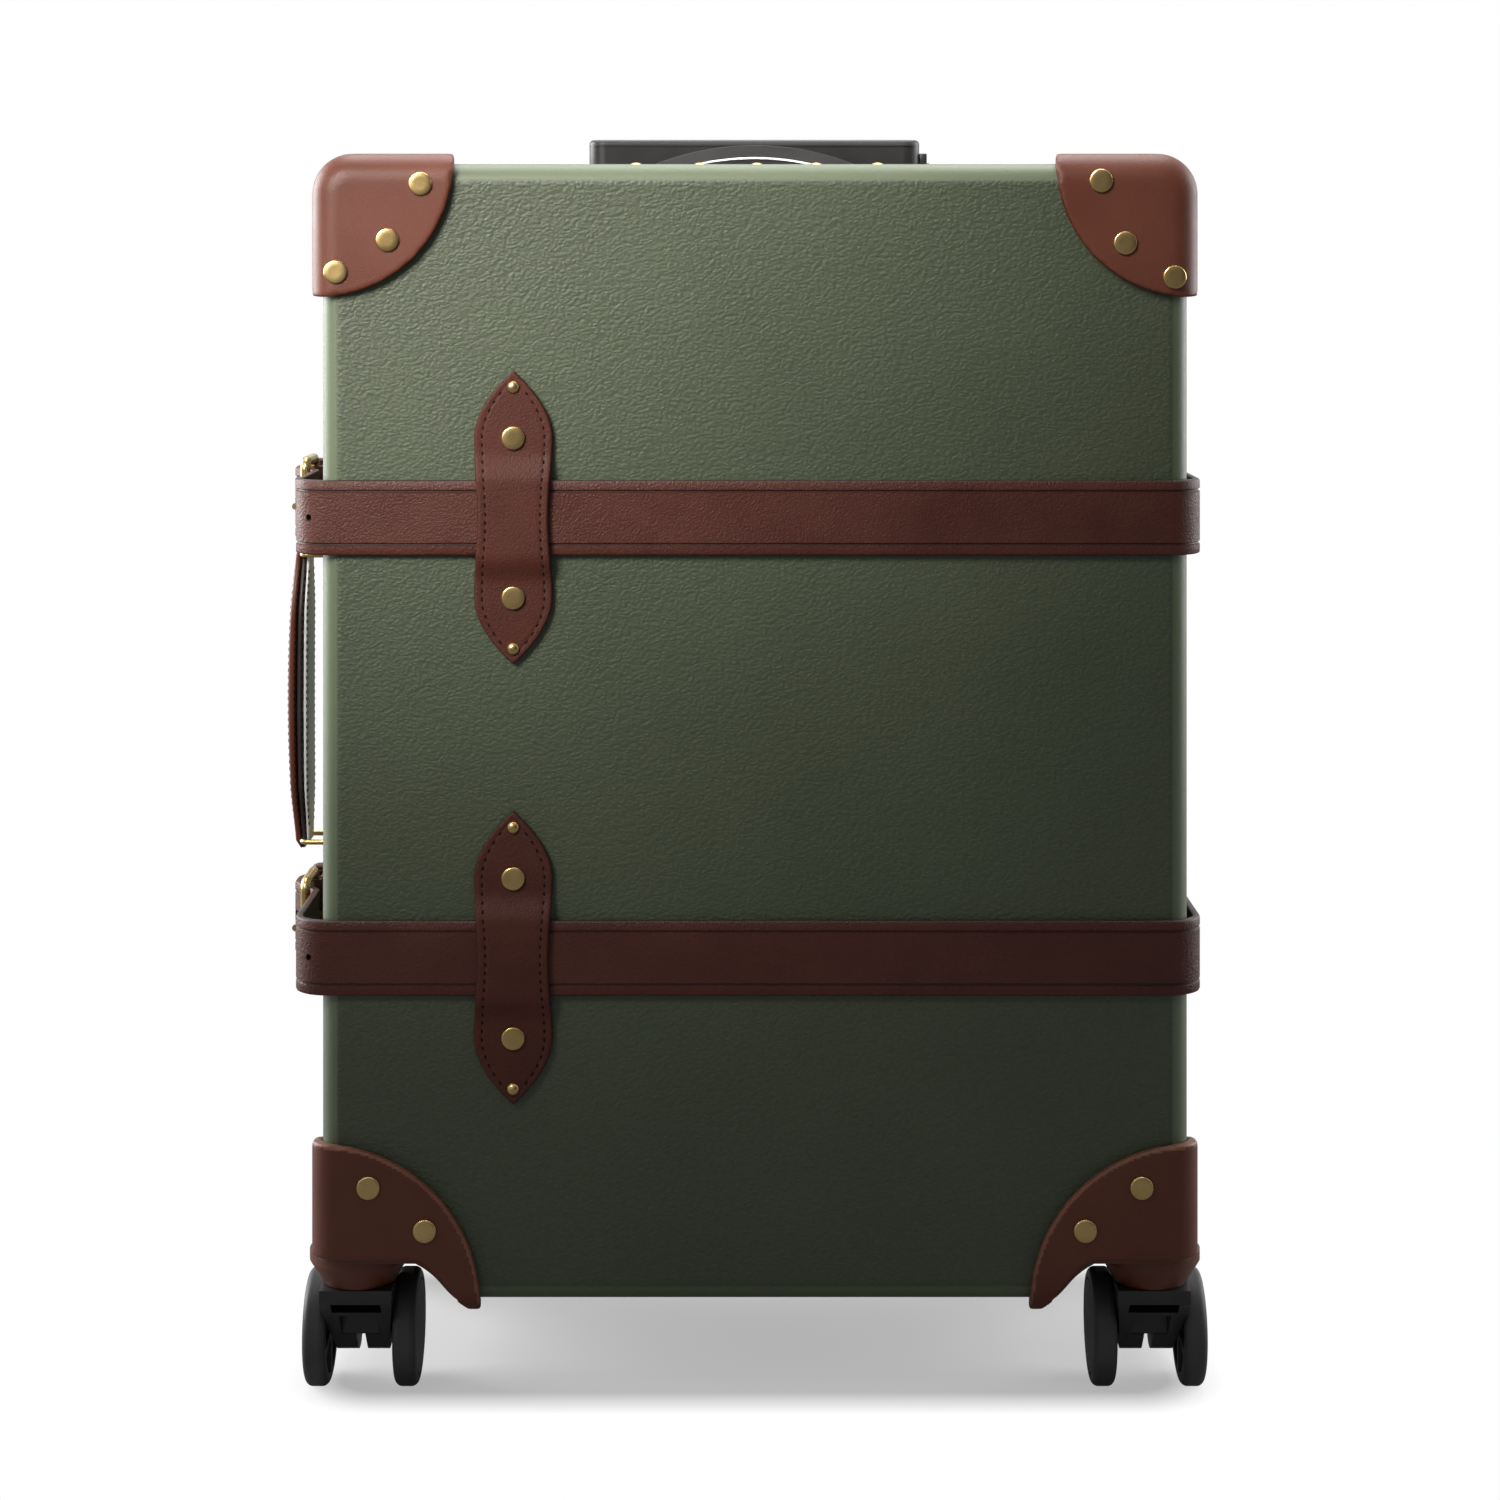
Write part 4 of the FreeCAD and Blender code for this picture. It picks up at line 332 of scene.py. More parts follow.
caseLow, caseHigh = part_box("base_shell")
caseLow.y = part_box("lid_shell")[0].y
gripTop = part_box("trolley_grip")[1].z
# pressed edges of the case; their paler tint is a painted highlight of the lit edge bands
caseRimHighlight = dict(low=caseLow, high=caseHigh, wide=6.5 * mm, fade=1.2 * mm, calm=0.85, cover=0.75,
               tint=(0.058, 0.078, 0.036))
# the lighter band along the grip's top edge is a painted highlight; the dark line below it is the moulded
# seam
gripSeamAndHighlight = ((2, gripTop - 1.4 * mm, 1.5 * mm, (0.034, 0.034, 0.035)),
             (2, gripTop - 3.2 * mm, 0.45 * mm, (0.003, 0.003, 0.003)))
strapGrain = dict(pits=0.35, pebble=1150.0, grit=3800.0, gritty=0.4, crumple=0.7, depth=0.0005)
mouldedGrain = dict(pits=0.3, patch=40.0, pebble=1600.0, grit=5000.0, gritty=0.5, bump=0.1, depth=0.0002)
finishes = {
    "fibreboard": dict(
        dark=(0.0255, 0.0365, 0.0135), light=(0.0325, 0.0455, 0.018), pit=(0.016, 0.0245, 0.0085),
        pits=0.4, patch=9.0, pebble=760.0, grit=2000.0, gritty=0.55, crumple=0.75, rough=(0.5, 0.58),
        bump=0.27, depth=0.001, gloss=0.65, stretch=(0.72, 0.72, 1.0), rim=caseRimHighlight),
    "lining": dict(
        dark=(0.15, 0.125, 0.09), light=(0.19, 0.16, 0.115), pit=(0.1, 0.08, 0.055), pits=0.2, patch=14.0,
        pebble=900.0, grit=3000.0, gritty=0.4, rough=(0.75, 0.9), bump=0.35, depth=0.0003, gloss=0.2,
        weave=5200.0),
    "leather": dict(
        dark=(0.075, 0.0178, 0.0078), light=(0.096, 0.025, 0.012), pit=(0.054, 0.0125, 0.0058), pits=0.35,
        patch=25.0, pebble=1900.0, grit=4200.0, gritty=0.4, crumple=0.5, rough=(0.42, 0.52), bump=0.22,
        depth=0.0003, gloss=0.3),
    "beltLeather": dict(
        strapGrain, dark=(0.0435, 0.009, 0.0047), light=(0.0595, 0.0132, 0.0072),
        pit=(0.03, 0.0064, 0.0035), patch=30.0, rough=(0.42, 0.54), bump=0.42, gloss=0.3),
    "tabLeather": dict(
        strapGrain, dark=(0.043, 0.0095, 0.0051), light=(0.058, 0.0135, 0.0075),
        pit=(0.03, 0.0066, 0.0037), patch=45.0, rough=(0.55, 0.66), bump=0.4, gloss=0.22),
    # lighter leather for the arc edge of the bottom corners: a painted highlight
    "leatherRimHighlight": dict(
        dark=(0.13, 0.046, 0.026), light=(0.17, 0.064, 0.037), pit=(0.09, 0.03, 0.017), pits=0.3,
        patch=60.0, pebble=1500.0, grit=3800.0, gritty=0.5, rough=(0.45, 0.6), bump=0.2, depth=0.0003,
        gloss=0.4),
    "leatherEdgeAndShade": dict(
        dark=(0.012, 0.006, 0.005), light=(0.02, 0.009, 0.006), pit=(0.008, 0.004, 0.003), pits=0.4,
        patch=60.0, pebble=1500.0, grit=3800.0, gritty=0.6, rough=(0.42, 0.6), bump=0.2, depth=0.0003),
    "brass": dict(
        dark=(0.52, 0.36, 0.145), light=(0.66, 0.48, 0.21), pit=(0.4, 0.27, 0.1), pits=0.12, patch=60.0,
        pebble=900.0, grit=5200.0, gritty=0.5, rough=(0.24, 0.3), bump=0.012, depth=0.0001, metal=1.0),
    "blackPlastic": dict(
        mouldedGrain, dark=(0.010, 0.010, 0.011), light=(0.018, 0.018, 0.019), pit=(0.007, 0.007, 0.008),
        rough=(0.3, 0.42)),
    "gripPlastic": dict(
        mouldedGrain, dark=(0.013, 0.013, 0.0135), light=(0.019, 0.019, 0.0195), pit=(0.01, 0.01, 0.0105),
        rough=(0.36, 0.48), gloss=0.3, lines=gripSeamAndHighlight),
    "handlePlastic": dict(
        mouldedGrain, dark=(0.016, 0.016, 0.0165), light=(0.023, 0.023, 0.0235),
        pit=(0.012, 0.012, 0.0125), rough=(0.34, 0.46)),
    # pale strip under the arch of the top handle: painted highlight
    "paleTrim": dict(
        dark=(0.68, 0.68, 0.67), light=(0.8, 0.8, 0.79), pit=(0.6, 0.6, 0.59), pits=0.2, patch=60.0,
        pebble=1400.0, grit=5000.0, gritty=0.5, rough=(0.3, 0.42), bump=0.08, depth=0.0001),
    # pale grey inner face of the side handle: painted reflection of the white background
    "handlePaintedReflection": dict(
        dark=(0.42, 0.42, 0.43), light=(0.52, 0.52, 0.53), pit=(0.36, 0.36, 0.37), pits=0.2, patch=60.0,
        pebble=1400.0, grit=5000.0, gritty=0.5, rough=(0.26, 0.36), bump=0.1, depth=0.0001),
    "wheelRubber": dict(
        dark=(0.034, 0.034, 0.0345), light=(0.048, 0.048, 0.0485), pit=(0.024, 0.024, 0.024), pits=0.3,
        patch=70.0, pebble=1300.0, grit=4200.0, gritty=0.6, rough=(0.48, 0.6), bump=0.12, depth=0.0002,
        gloss=0.3),
    "brownPlastic": dict(
        dark=(0.07, 0.017, 0.0082), light=(0.09, 0.0235, 0.0118), pit=(0.05, 0.012, 0.006), pits=0.25,
        patch=30.0, pebble=1500.0, grit=4200.0, gritty=0.4, rough=(0.36, 0.48), bump=0.1, depth=0.0002,
        gloss=0.35),
    "tubeMetal": dict(
        dark=(0.42, 0.42, 0.43), light=(0.56, 0.56, 0.57), pit=(0.35, 0.35, 0.36), pits=0.15, patch=50.0,
        pebble=700.0, grit=6000.0, gritty=0.5, rough=(0.28, 0.4), bump=0.05, depth=0.0001, metal=1.0),
    "thread": dict(
        dark=(0.004, 0.003, 0.0028), light=(0.007, 0.005, 0.0045), pit=(0.003, 0.0024, 0.002), pits=0.4,
        patch=200.0, pebble=2500.0, grit=6000.0, gritty=0.5, rough=(0.7, 0.85), bump=0.2, depth=0.0002,
        gloss=0.08),
}
finish = {name: surface(name, look) for name, look in finishes.items()}
print("finishes made:", len(finish))


# finishes of the CAD pieces

nodeFinish = {
    "fibreboard": ("base_shell", "lid_shell", "base_valance"),
    "brownPlastic": ("front_wheel_housings", "rear_wheel_housings"),
    "brass": ("lid_rivets", "base_rivets", "upper_buckle_frame", "lower_buckle_frame", "upper_buckle_prong",
              "lower_buckle_prong", "carry_handle_brackets", "carry_ring_upper", "carry_ring_lower",
              "lock_plates", "hasp_plates", "upper_lock_hasp", "lower_lock_hasp", "upper_lock_slide",
              "lower_lock_slide", "base_hinge_leaves", "lid_hinge_leaves"),
    "blackPlastic": ("trolley_tray", "trolley_button", "top_handle_tray"),
    "gripPlastic": ("trolley_grip",),
    "handlePlastic": ("top_handle",),
    "tubeMetal": ("trolley_outer_tubes", "trolley_middle_tubes", "trolley_inner_tubes"),
}


def dress(name, finishName):
    data = frame["nodes"][name].data
    data.materials.clear()
    data.materials.append(finish[finishName])


for finishName, names in nodeFinish.items():
    for name in names:
        dress(name, finishName)
caseMiddle = (caseLow + caseHigh) / 2
for name in ("base_shell", "lid_shell"):
    # faces that look towards the middle of the case carry the lining
    data = frame["nodes"][name].data
    data.materials.append(finish["lining"])
    for face in data.polygons:
        if face.normal.dot(face.center - caseMiddle) < 0:
            face.material_index = 1
forkNodes = [name for name in frame["nodes"] if name.endswith("_fork")]
for name in forkNodes:
    dress(name, "blackPlastic")
for name in frame["nodes"]:
    if "_wheel_" in name and "housings" not in name:
        dress(name, "wheelRubber")


# caster forks with softened edges

forks = dict(material="blackPlastic", soft=0.55 * mm, segments=2, limit=35)
flatWithin = math.radians(1)


def softMoulding(node, material, soft, segments, limit):
    # a copy of a moulded CAD piece with softened edges
    source = frame["nodes"][node]
    bm = bmesh.new()
    bm.from_mesh(source.data)
    closeUp(bm)
    bmesh.ops.dissolve_limit(bm, angle_limit=flatWithin, verts=bm.verts[:], edges=bm.edges[:])
    obj = newObject(node + "_moulding", bm, finish[material], source["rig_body"])
    edge = obj.modifiers.new("softEdge", "BEVEL")
    edge.width = soft
    edge.segments = segments
    edge.limit_method = "ANGLE"
    edge.angle_limit = math.radians(limit)
    crisp(obj, limit)
    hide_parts(node)


for node in forkNodes:
    softMoulding(node, **forks)
print("forks done")


# moulded leather corners

corners = dict(voxel=1.1 * mm, softenSteps=6, softenBy=0.5, rim=1.5 * mm)


def leatherCorner(node):
    source = frame["nodes"][node]
    bm = bmesh.new()
    bm.from_mesh(source.data)
    closeUp(bm)
    obj = newObject(node + "_leather", bm, finish["leather"])
    remesh = obj.modifiers.new("remesh", "REMESH")
    remesh.mode = "VOXEL"
    remesh.voxel_size = corners["voxel"]
    soften = obj.modifiers.new("soften", "SMOOTH")
    soften.factor = corners["softenBy"]
    soften.iterations = corners["softenSteps"]
    applied(obj)
    obj.data.materials.clear()
    obj.data.materials.append(finish["leather"])
    obj.data.materials.append(finish["leatherRimHighlight"])
    # faces along the arc edge of the bottom corners get the lighter leather, a painted highlight where the
    # edge catches light
    if "_bottom_" in node:
        corner = Vector((math.copysign(caseHigh.x, middleOf(node).x), caseLow.z))
        far = [(Vector((face.center.x, face.center.z)) - corner).length for face in obj.data.polygons]
        reach = max(far)
        for face, gone in zip(obj.data.polygons, far):
            if gone > reach - corners["rim"] and face.center.z > corner.y:
                face.material_index = 1
    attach(obj, source["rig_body"])
    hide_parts(node)


for node in frame["nodes"]:
    if "_corner_" in node and node.split("_")[0] in ("base", "lid"):
        leatherCorner(node)
print("leather corners done")


# belts

belt = dict(width=32 * mm, thick=3 * mm, crease=4.7 * mm, creaseDeep=0.7 * mm, creaseWide=0.7 * mm,
            creaseFloor=0.35, creaseShadeShare=0.3, edgeRound=0.9 * mm, edgeNormal=0.85, bend=12 * mm,
            rightIn=188.5 * mm, leftIn=194.5 * mm, leftRear=195.5 * mm, rearEnd=-8.9 * mm, faceY=100.3 * mm,
            seamY=-25 * mm, cut=12 * mm, tailStart=-70 * mm, hingeSteps=16, crispAt=46,
            holeAngles=(32, 84), holeRadius=1.4 * mm, holeDeep=0.012, holeSides=20,
            heights={level: middleOf(level + "_strap_front").z for level in ("upper", "lower")})
quarterTurn = 1.5708
shortest = 1e-6


def mirrored(half):
    return [(-b, a) for b, a in reversed(half)]


def beltSection():
    # across the width, then out from the case; the edge in shares of its radius
    half, thick, edge = belt["width"] / 2, belt["thick"], belt["edgeRound"]
    near, deep, wide = half - belt["crease"], belt["creaseDeep"], belt["creaseWide"]
    level = wide * belt["creaseFloor"]
    side = [(half - edge * 0.35, 0.0), (half, edge * 0.5), (half, thick - edge),
            (half - edge * 0.3, thick - edge * 0.3), (half - edge, thick)]
    groove = [(near + wide, thick), (near + level, thick - deep), (near - level, thick - deep),
              (near - wide, thick)]
    right = side + groove + [(near - wide * 2.5, thick), (near * 0.3, thick)]
    return right + mirrored(right)


def inCrease(face, z):
    # the floor of the line pressed along each edge, which gets the dark edge colour as painted shade
    off = abs(face.center.z - z) - (belt["width"] / 2 - belt["crease"])
    return abs(off) < belt["creaseWide"] * belt["creaseShadeShare"]


def startFace(bm, section, at, out):
    verts = [bm.verts.new(at + upAxis * b + out * a) for b, a in section]
    return bm.faces.new(verts)


def goStraight(bm, face, step):
    made = bmesh.ops.extrude_face_region(bm, geom=[face])
    verts = [item for item in made["geom"] if isinstance(item, bmesh.types.BMVert)]
    bmesh.ops.translate(bm, verts=verts, vec=step)
    end = [item for item in made["geom"] if isinstance(item, bmesh.types.BMFace)][0]
    if face.is_valid:
        bmesh.ops.delete(bm, geom=[face], context="FACES_ONLY")
    return end


def goRound(bm, face, centre, angle, steps):
    made = bmesh.ops.spin(bm, geom=[face], cent=centre, axis=upAxis, angle=angle, steps=steps)
    end = [item for item in made["geom_last"] if isinstance(item, bmesh.types.BMFace)][0]
    if face.is_valid:
        bmesh.ops.delete(bm, geom=[face], context="FACES_ONLY")
    return end


def followPlan(bm, face, points, radii, steps=10):
    # straight runs and round bends along a plan path
    here = Vector((*points[0], 0))
    for index in range(1, len(points)):
        corner = Vector((*points[index], 0))
        ahead = (corner - here).normalized()
        if index == len(points) - 1:
            return goStraight(bm, face, corner - here)
        after = (Vector((*points[index + 1], 0)) - corner).normalized()
        turn = math.atan2(ahead.x * after.y - ahead.y * after.x, ahead.dot(after))
        reach = radii[index] * math.tan(abs(turn) / 2)
        start = corner - ahead * reach
        if (start - here).length > shortest:
            face = goStraight(bm, face, start - here)
        side = Vector((-ahead.y, ahead.x, 0)) * math.copysign(radii[index], turn)
        turnSteps = max(2, int(steps * abs(turn) / quarterTurn))
        face = goRound(bm, face, start + side, turn, turnSteps)
        here = corner + after * reach
    return face


def wrapBelt(level, half, body, points):
    # a belt's run round one half of the case
    z = belt["heights"][level]
    bm = bmesh.new()
    face = startFace(bm, beltSection(), Vector((*points[0], z)), Vector((1, 0, 0)))
    followPlan(bm, face, points, (0, belt["bend"], belt["bend"], 0))
    closeUp(bm)
    obj = newObject(level + "_belt_" + half, bm, finish["beltLeather"], body)
    # cut edges get the dark edge paint, and crease floors get the same colour as painted shade
    darkenEdgesAndShadeCreases(obj, lambda face: abs(face.normal.z) > belt["edgeNormal"] or inCrease(face, z))
    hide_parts(level + "_strap_" + half)
    return obj


def addBox(bm, centre, size):
    bmesh.ops.create_cube(bm, size=1, matrix=Matrix.Translation(centre) @ Matrix.Diagonal((*size, 1)))


def cutAway(obj, cutter, itself=False):
    # take the cutter's volume out of a piece
    tool = newObject("cutter", cutter, finish["leatherEdgeAndShade"])
    drill = obj.modifiers.new("cut", "BOOLEAN")
    drill.object = tool
    drill.solver = "EXACT"
    drill.use_self = itself
    applied(obj)
    bpy.data.objects.remove(tool)


def punch(obj, holes, depth):
    # round holes through a strap: a list of centre and direction
    cutter = bmesh.new()
    radius = belt["holeRadius"]
    for centre, direction in holes:
        turn = direction.to_track_quat("Z", "Y").to_matrix().to_4x4()
        bmesh.ops.create_cone(cutter, cap_ends=True, segments=belt["holeSides"], radius1=radius,
                              radius2=radius, depth=depth, matrix=Matrix.Translation(centre) @ turn)
    cutAway(obj, cutter)
    crisp(obj, belt["crispAt"])


# path in mm from the front belt's end through the buckle and the keeper; slots as from, to and width
tail = dict(pathY=(-70, -37.6, -18.7, -9.3, 4.6, 13.4, 32),
            pathX=(194.5, 194.5, 205.3, 205.3, 198.9, 198.9, 198.9),
            soft=(0, 7.2, 3.6, 3.6, 3.6, 7.2, 0), bendSteps=14, flare={"upper": 4 * mm, "lower": 8 * mm},
            point=14 * mm, pointSteps=7, tip=0.06, taper=2.6, hole=(-0.196, -58 * mm), holeDeep=0.02,
            slots=((-39.5 * mm, -17.5 * mm, 6 * mm), (-18 * mm, -3.4 * mm, 3.8 * mm)),
            slotX=-0.2, slotDeep=0.04)


def beltTail(level):
    z = belt["heights"][level]
    points = [(-x * mm, y * mm) for x, y in zip(tail["pathX"], tail["pathY"])]
    points[-1] = (points[-1][0] - tail["flare"][level], points[-1][1])
    last, before = Vector((*points[-1], 0)), Vector((*points[-2], 0))
    run = (last - before).normalized()
    shoulder = last - run * tail["point"]
    points[-1] = (shoulder.x, shoulder.y)
    bm = bmesh.new()
    face = startFace(bm, beltSection(), Vector((*points[0], z)), Vector((-1, 0, 0)))
    face = followPlan(bm, face, points, [r * mm for r in tail["soft"]], steps=tail["bendSteps"])
    done = 1.0
    for step in range(1, tail["pointSteps"] + 1):
        part = step / tail["pointSteps"]
        face = goStraight(bm, face, run * tail["point"] / tail["pointSteps"])
        wide = max(tail["tip"], 1 - part ** tail["taper"])
        bmesh.ops.scale(bm, verts=face.verts[:], vec=(1, 1, wide / done),
                        space=Matrix.Translation((0, 0, -z)))
        done = wide
    closeUp(bm)
    obj = newObject(level + "_belt_tail", bm, finish["beltLeather"])
    slot = bmesh.new()
    for slotFrom, slotTo, wide in tail["slots"]:
        addBox(slot, (tail["slotX"], (slotFrom + slotTo) / 2, z), (tail["slotDeep"], slotTo - slotFrom, wide))
    cutAway(obj, slot, itself=True)
    punch(obj, [(Vector((*tail["hole"], z)), Vector((1, 0, 0)))], tail["holeDeep"])
    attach(obj, "lid")
    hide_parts(level + "_strap_tail")


# profile of the wrapped end in mm: in from its edge, out from the bar
chape = dict(centre=(-200.2 * mm, -14 * mm), inner=2.35 * mm, slot=6.4 * mm, straightTo=-8.9 * mm, steps=32,
             profile=((0.5, 2.35), (0.0, 1.8), (0.0, 0.5), (0.4, 0.0)), tongueX=-197 * mm,
             tongueThick=2.9 * mm, overlap=0.2 * mm, crispAt=60)
keeper = dict(y=5 * mm, wide=8 * mm, wall=1.6 * mm, low=-195.5 * mm, high=-202.3 * mm, gap=0.4 * mm,
              outBy=0.9, bend=2.2 * mm, bendSteps=5, soft=0.5 * mm, softSteps=3)
mostly = 0.9


def beltChape(level):
    # the belt's end wrapped round the buckle bar
    z = belt["heights"][level]
    bm = bmesh.new()
    eyeWide = (belt["width"] - chape["slot"]) / 2
    centre = Vector((*chape["centre"], z))
    half = [(eyeWide / 2 - inset * mm, rise * mm) for inset, rise in chape["profile"]]
    ring = mirrored(half) + half
    barY, endY = chape["centre"][1], chape["straightTo"]
    for sign in (-1, 1):
        middle = centre + upAxis * sign * (chape["slot"] / 2 + eyeWide / 2)
        face = startFace(bm, ring, middle + Vector((chape["inner"], 0, 0)), Vector((1, 0, 0)))
        bmesh.ops.spin(bm, geom=[face], cent=middle, axis=upAxis, angle=math.tau, steps=chape["steps"],
                       use_merge=True)
        addBox(bm, (chape["tongueX"], (endY + barY) / 2, middle.z),
               (chape["tongueThick"], endY - barY + chape["overlap"], eyeWide))
    closeUp(bm)
    obj = newObject(level + "_belt_chape", bm, finish["beltLeather"], "base")
    crisp(obj, chape["crispAt"])
    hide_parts(level + "_strap_rear")


def beltKeeper(level):
    # the loop that holds the tail
    outBy = keeper["wall"] * keeper["outBy"]
    width = belt["width"] + 2 * keeper["gap"]
    low, high = keeper["low"] + outBy, keeper["high"] - outBy
    loop = bmesh.new()
    addBox(loop, ((low + high) / 2, keeper["y"] + keeper["wide"] / 2, belt["heights"][level]),
           (low - high, keeper["wide"], width + 2 * outBy))
    ends = [f for f in loop.faces if abs(f.normal.y) > mostly]
    bmesh.ops.delete(loop, geom=ends, context="FACES_ONLY")
    long = [e for e in loop.edges if abs((e.verts[0].co - e.verts[1].co).normalized().y) > mostly]
    bmesh.ops.bevel(loop, geom=long, offset=keeper["bend"], offset_type="OFFSET",
                    segments=keeper["bendSteps"], profile=0.5, affect="EDGES", material=-1)
    bmesh.ops.recalc_face_normals(loop, faces=loop.faces[:])
    bmesh.ops.solidify(loop, geom=loop.faces[:], thickness=keeper["wall"])
    band = newObject(level + "_belt_keeper", loop, finish["beltLeather"], "base")
    edge = band.modifiers.new("edge", "BEVEL")
    edge.width = keeper["soft"]
    edge.segments = keeper["softSteps"]
    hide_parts(level + "_strap_rear")


def beltBends():
    # the short lengths that bend at the hinge side
    bm = bmesh.new()
    step = Vector((0, -2 * belt["cut"] / belt["hingeSteps"], 0))
    for z in belt["heights"].values():
        start = Vector((belt["rightIn"], belt["seamY"] + belt["cut"], z))
        face = startFace(bm, beltSection(), start, Vector((1, 0, 0)))
        for count in range(belt["hingeSteps"]):
            face = goStraight(bm, face, step)
    closeUp(bm)
    obj = newObject("belt_hinge_bends", bm, finish["beltLeather"])
    crisp(obj, belt["crispAt"])
    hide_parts("strap_hinge_bends")
    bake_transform(obj)


rightX, seamY, faceY = belt["rightIn"], belt["seamY"], belt["faceY"]
frontPlan = [(rightX, seamY - belt["cut"]), (rightX, -faceY), (-belt["leftIn"], -faceY),
             (-belt["leftIn"], belt["tailStart"])]
rearPlan = [(rightX, seamY + belt["cut"]), (rightX, faceY), (-belt["leftRear"], faceY),
            (-belt["leftRear"], belt["rearEnd"])]
for level, z in belt["heights"].items():
    front = wrapBelt(level, "front", "lid", frontPlan)
    bendAt = Vector((-(belt["leftIn"] - belt["bend"]), -(faceY - belt["bend"]), z))
    holes = []
    for angle in belt["holeAngles"]:
        way = Vector((-math.sin(math.radians(angle)), -math.cos(math.radians(angle)), 0))
        holes.append((bendAt + way * belt["bend"], way))
    punch(front, holes, belt["holeDeep"])
    crisp(wrapBelt(level, "rear", "base", rearPlan), belt["crispAt"])
    beltTail(level)
    beltChape(level)
    beltKeeper(level)
beltBends()
print("belts done")


# stitched tabs over the belts

tab = dict(x=-103 * mm, half=62.5 * mm, wide=16.75 * mm, waist=15 * mm, rivetAt=34 * mm, taper=1.9,
           thick=3 * mm, faceY=-100 * mm, lift=3.6 * mm, edge=14 * mm, ramp=15.5 * mm, round=1.1 * mm,
           endShare=0.75, groove=0.25 * mm, grooveWide=0.6 * mm, edgeNormal=0.3, columns=48, rows=150)
seam = dict(inset=3.4 * mm, pitch=3.65 * mm, end=53 * mm, size=(0.62 * mm, 0.5 * mm, 1.15 * mm),
            sunk=0.1 * mm, look=0.5 * mm, clear=1.2 * mm)
pin = dict(at=55.7 * mm, radius=2.8 * mm, sunk=0.2 * mm, rise=0.72)


def smoothStep(low, high, value):
    part = min(1.0, max(0.0, (value - low) / (high - low)))
    return part * part * (3 - 2 * part)


def tabWidth(v):
    # half width of the leaf at a height from its middle
    v = abs(v)
    if v < tab["rivetAt"]:
        return tab["waist"] + (tab["wide"] - tab["waist"]) * smoothStep(0, tab["rivetAt"], v)
    part = min(1.0, (v - tab["rivetAt"]) / (tab["half"] - tab["rivetAt"]))
    return tab["wide"] * (1 - part ** tab["taper"])


def tabLift(v):
    # over the belt and gently down to the case on both sides
    part = min(1.0, max(0.0, (abs(v) - tab["edge"]) / tab["ramp"]))
    return tab["lift"] * (1 - part ** 3 * (part * (part * 6 - 15) + 10))


def addStitch(bm, at, size, turn=Matrix.Identity(4)):
    bmesh.ops.create_icosphere(bm, subdivisions=1, radius=1,
                               matrix=Matrix.Translation(at) @ turn @ Matrix.Diagonal((*size, 1)))


def strapTab(level):
    z = belt["heights"][level]
    bm = bmesh.new()
    bmesh.ops.create_grid(bm, x_segments=tab["columns"], y_segments=tab["rows"], size=1)
    for vert in bm.verts:
        v = vert.co.y * tab["half"]
        u = math.sin(vert.co.x * math.pi / 2)
        vert.co = Vector((tab["x"] + u * tabWidth(v), tab["faceY"] - tabLift(v), z + v))
    bmesh.ops.remove_doubles(bm, verts=bm.verts[:], dist=0.01 * mm)
    bmesh.ops.recalc_face_normals(bm, faces=bm.faces[:])
    if sum(face.normal.y for face in bm.faces) > 0:
        bmesh.ops.reverse_faces(bm, faces=bm.faces[:])
    made = bmesh.ops.extrude_face_region(bm, geom=bm.faces[:], use_keep_orig=True)
    outer = [item for item in made["geom"] if isinstance(item, bmesh.types.BMVert)]
    for vert in outer:
        v = vert.co.z - z
        inset = tabWidth(v) - abs(vert.co.x - tab["x"])
        ends = min(inset, (tab["half"] - abs(v)) * tab["endShare"])
        rim = max(0.0, tab["round"] - ends)
        drop = tab["round"] - math.sqrt(max(0.0, tab["round"] ** 2 - rim ** 2))
        drop += tab["groove"] * math.exp(-((inset - seam["inset"]) / tab["grooveWide"]) ** 2)
        vert.co.y -= tab["thick"] - drop
    closeUp(bm, dist=0.005 * mm)
    obj = newObject(level + "_tab_leather", bm, finish["tabLeather"], "lid")
    darkenEdgesAndShadeCreases(obj, lambda face: abs(face.normal.y) < tab["edgeNormal"])
    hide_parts(level + "_strap_tab")

    thread = bmesh.new()
    count = int(2 * seam["end"] / seam["pitch"])
    under = Vector((0, tab["groove"] + seam["sunk"], 0))
    for sign in (-1, 1):
        for index in range(count + 1):
            v = -seam["end"] + index * 2 * seam["end"] / count
            ahead = [Vector((tab["x"] + sign * (tabWidth(s) - seam["inset"]),
                             tab["faceY"] - tabLift(s) - tab["thick"], z + s))
                     for s in (v - seam["look"], v + seam["look"])]
            middle = (ahead[0] + ahead[1]) / 2
            if abs(middle.x - tab["x"]) < seam["clear"]:
                continue
            turn = (ahead[1] - ahead[0]).to_track_quat("Z", "Y").to_matrix().to_4x4()
            addStitch(thread, middle + under, seam["size"], turn)
    sewn = newObject(level + "_tab_stitches", thread, finish["thread"], "lid")

    pins = bmesh.new()
    for sign in (-1, 1):
        at = Vector((tab["x"], tab["faceY"] - tab["thick"] + pin["sunk"], z + sign * pin["at"]))
        bmesh.ops.create_uvsphere(pins, u_segments=24, v_segments=14, radius=pin["radius"],
                                  matrix=Matrix.Translation(at) @ Matrix.Diagonal((1, pin["rise"], 1, 1)))
    heads = newObject(level + "_tab_pins", pins, finish["brass"], "lid")


for level in belt["heights"]:
    strapTab(level)
print("tabs done")


# side carry handle: leather cover and a pale inner layer stitched to a dark backing; the pale layer is a
# painted reflection of the white background on the glossy inner side

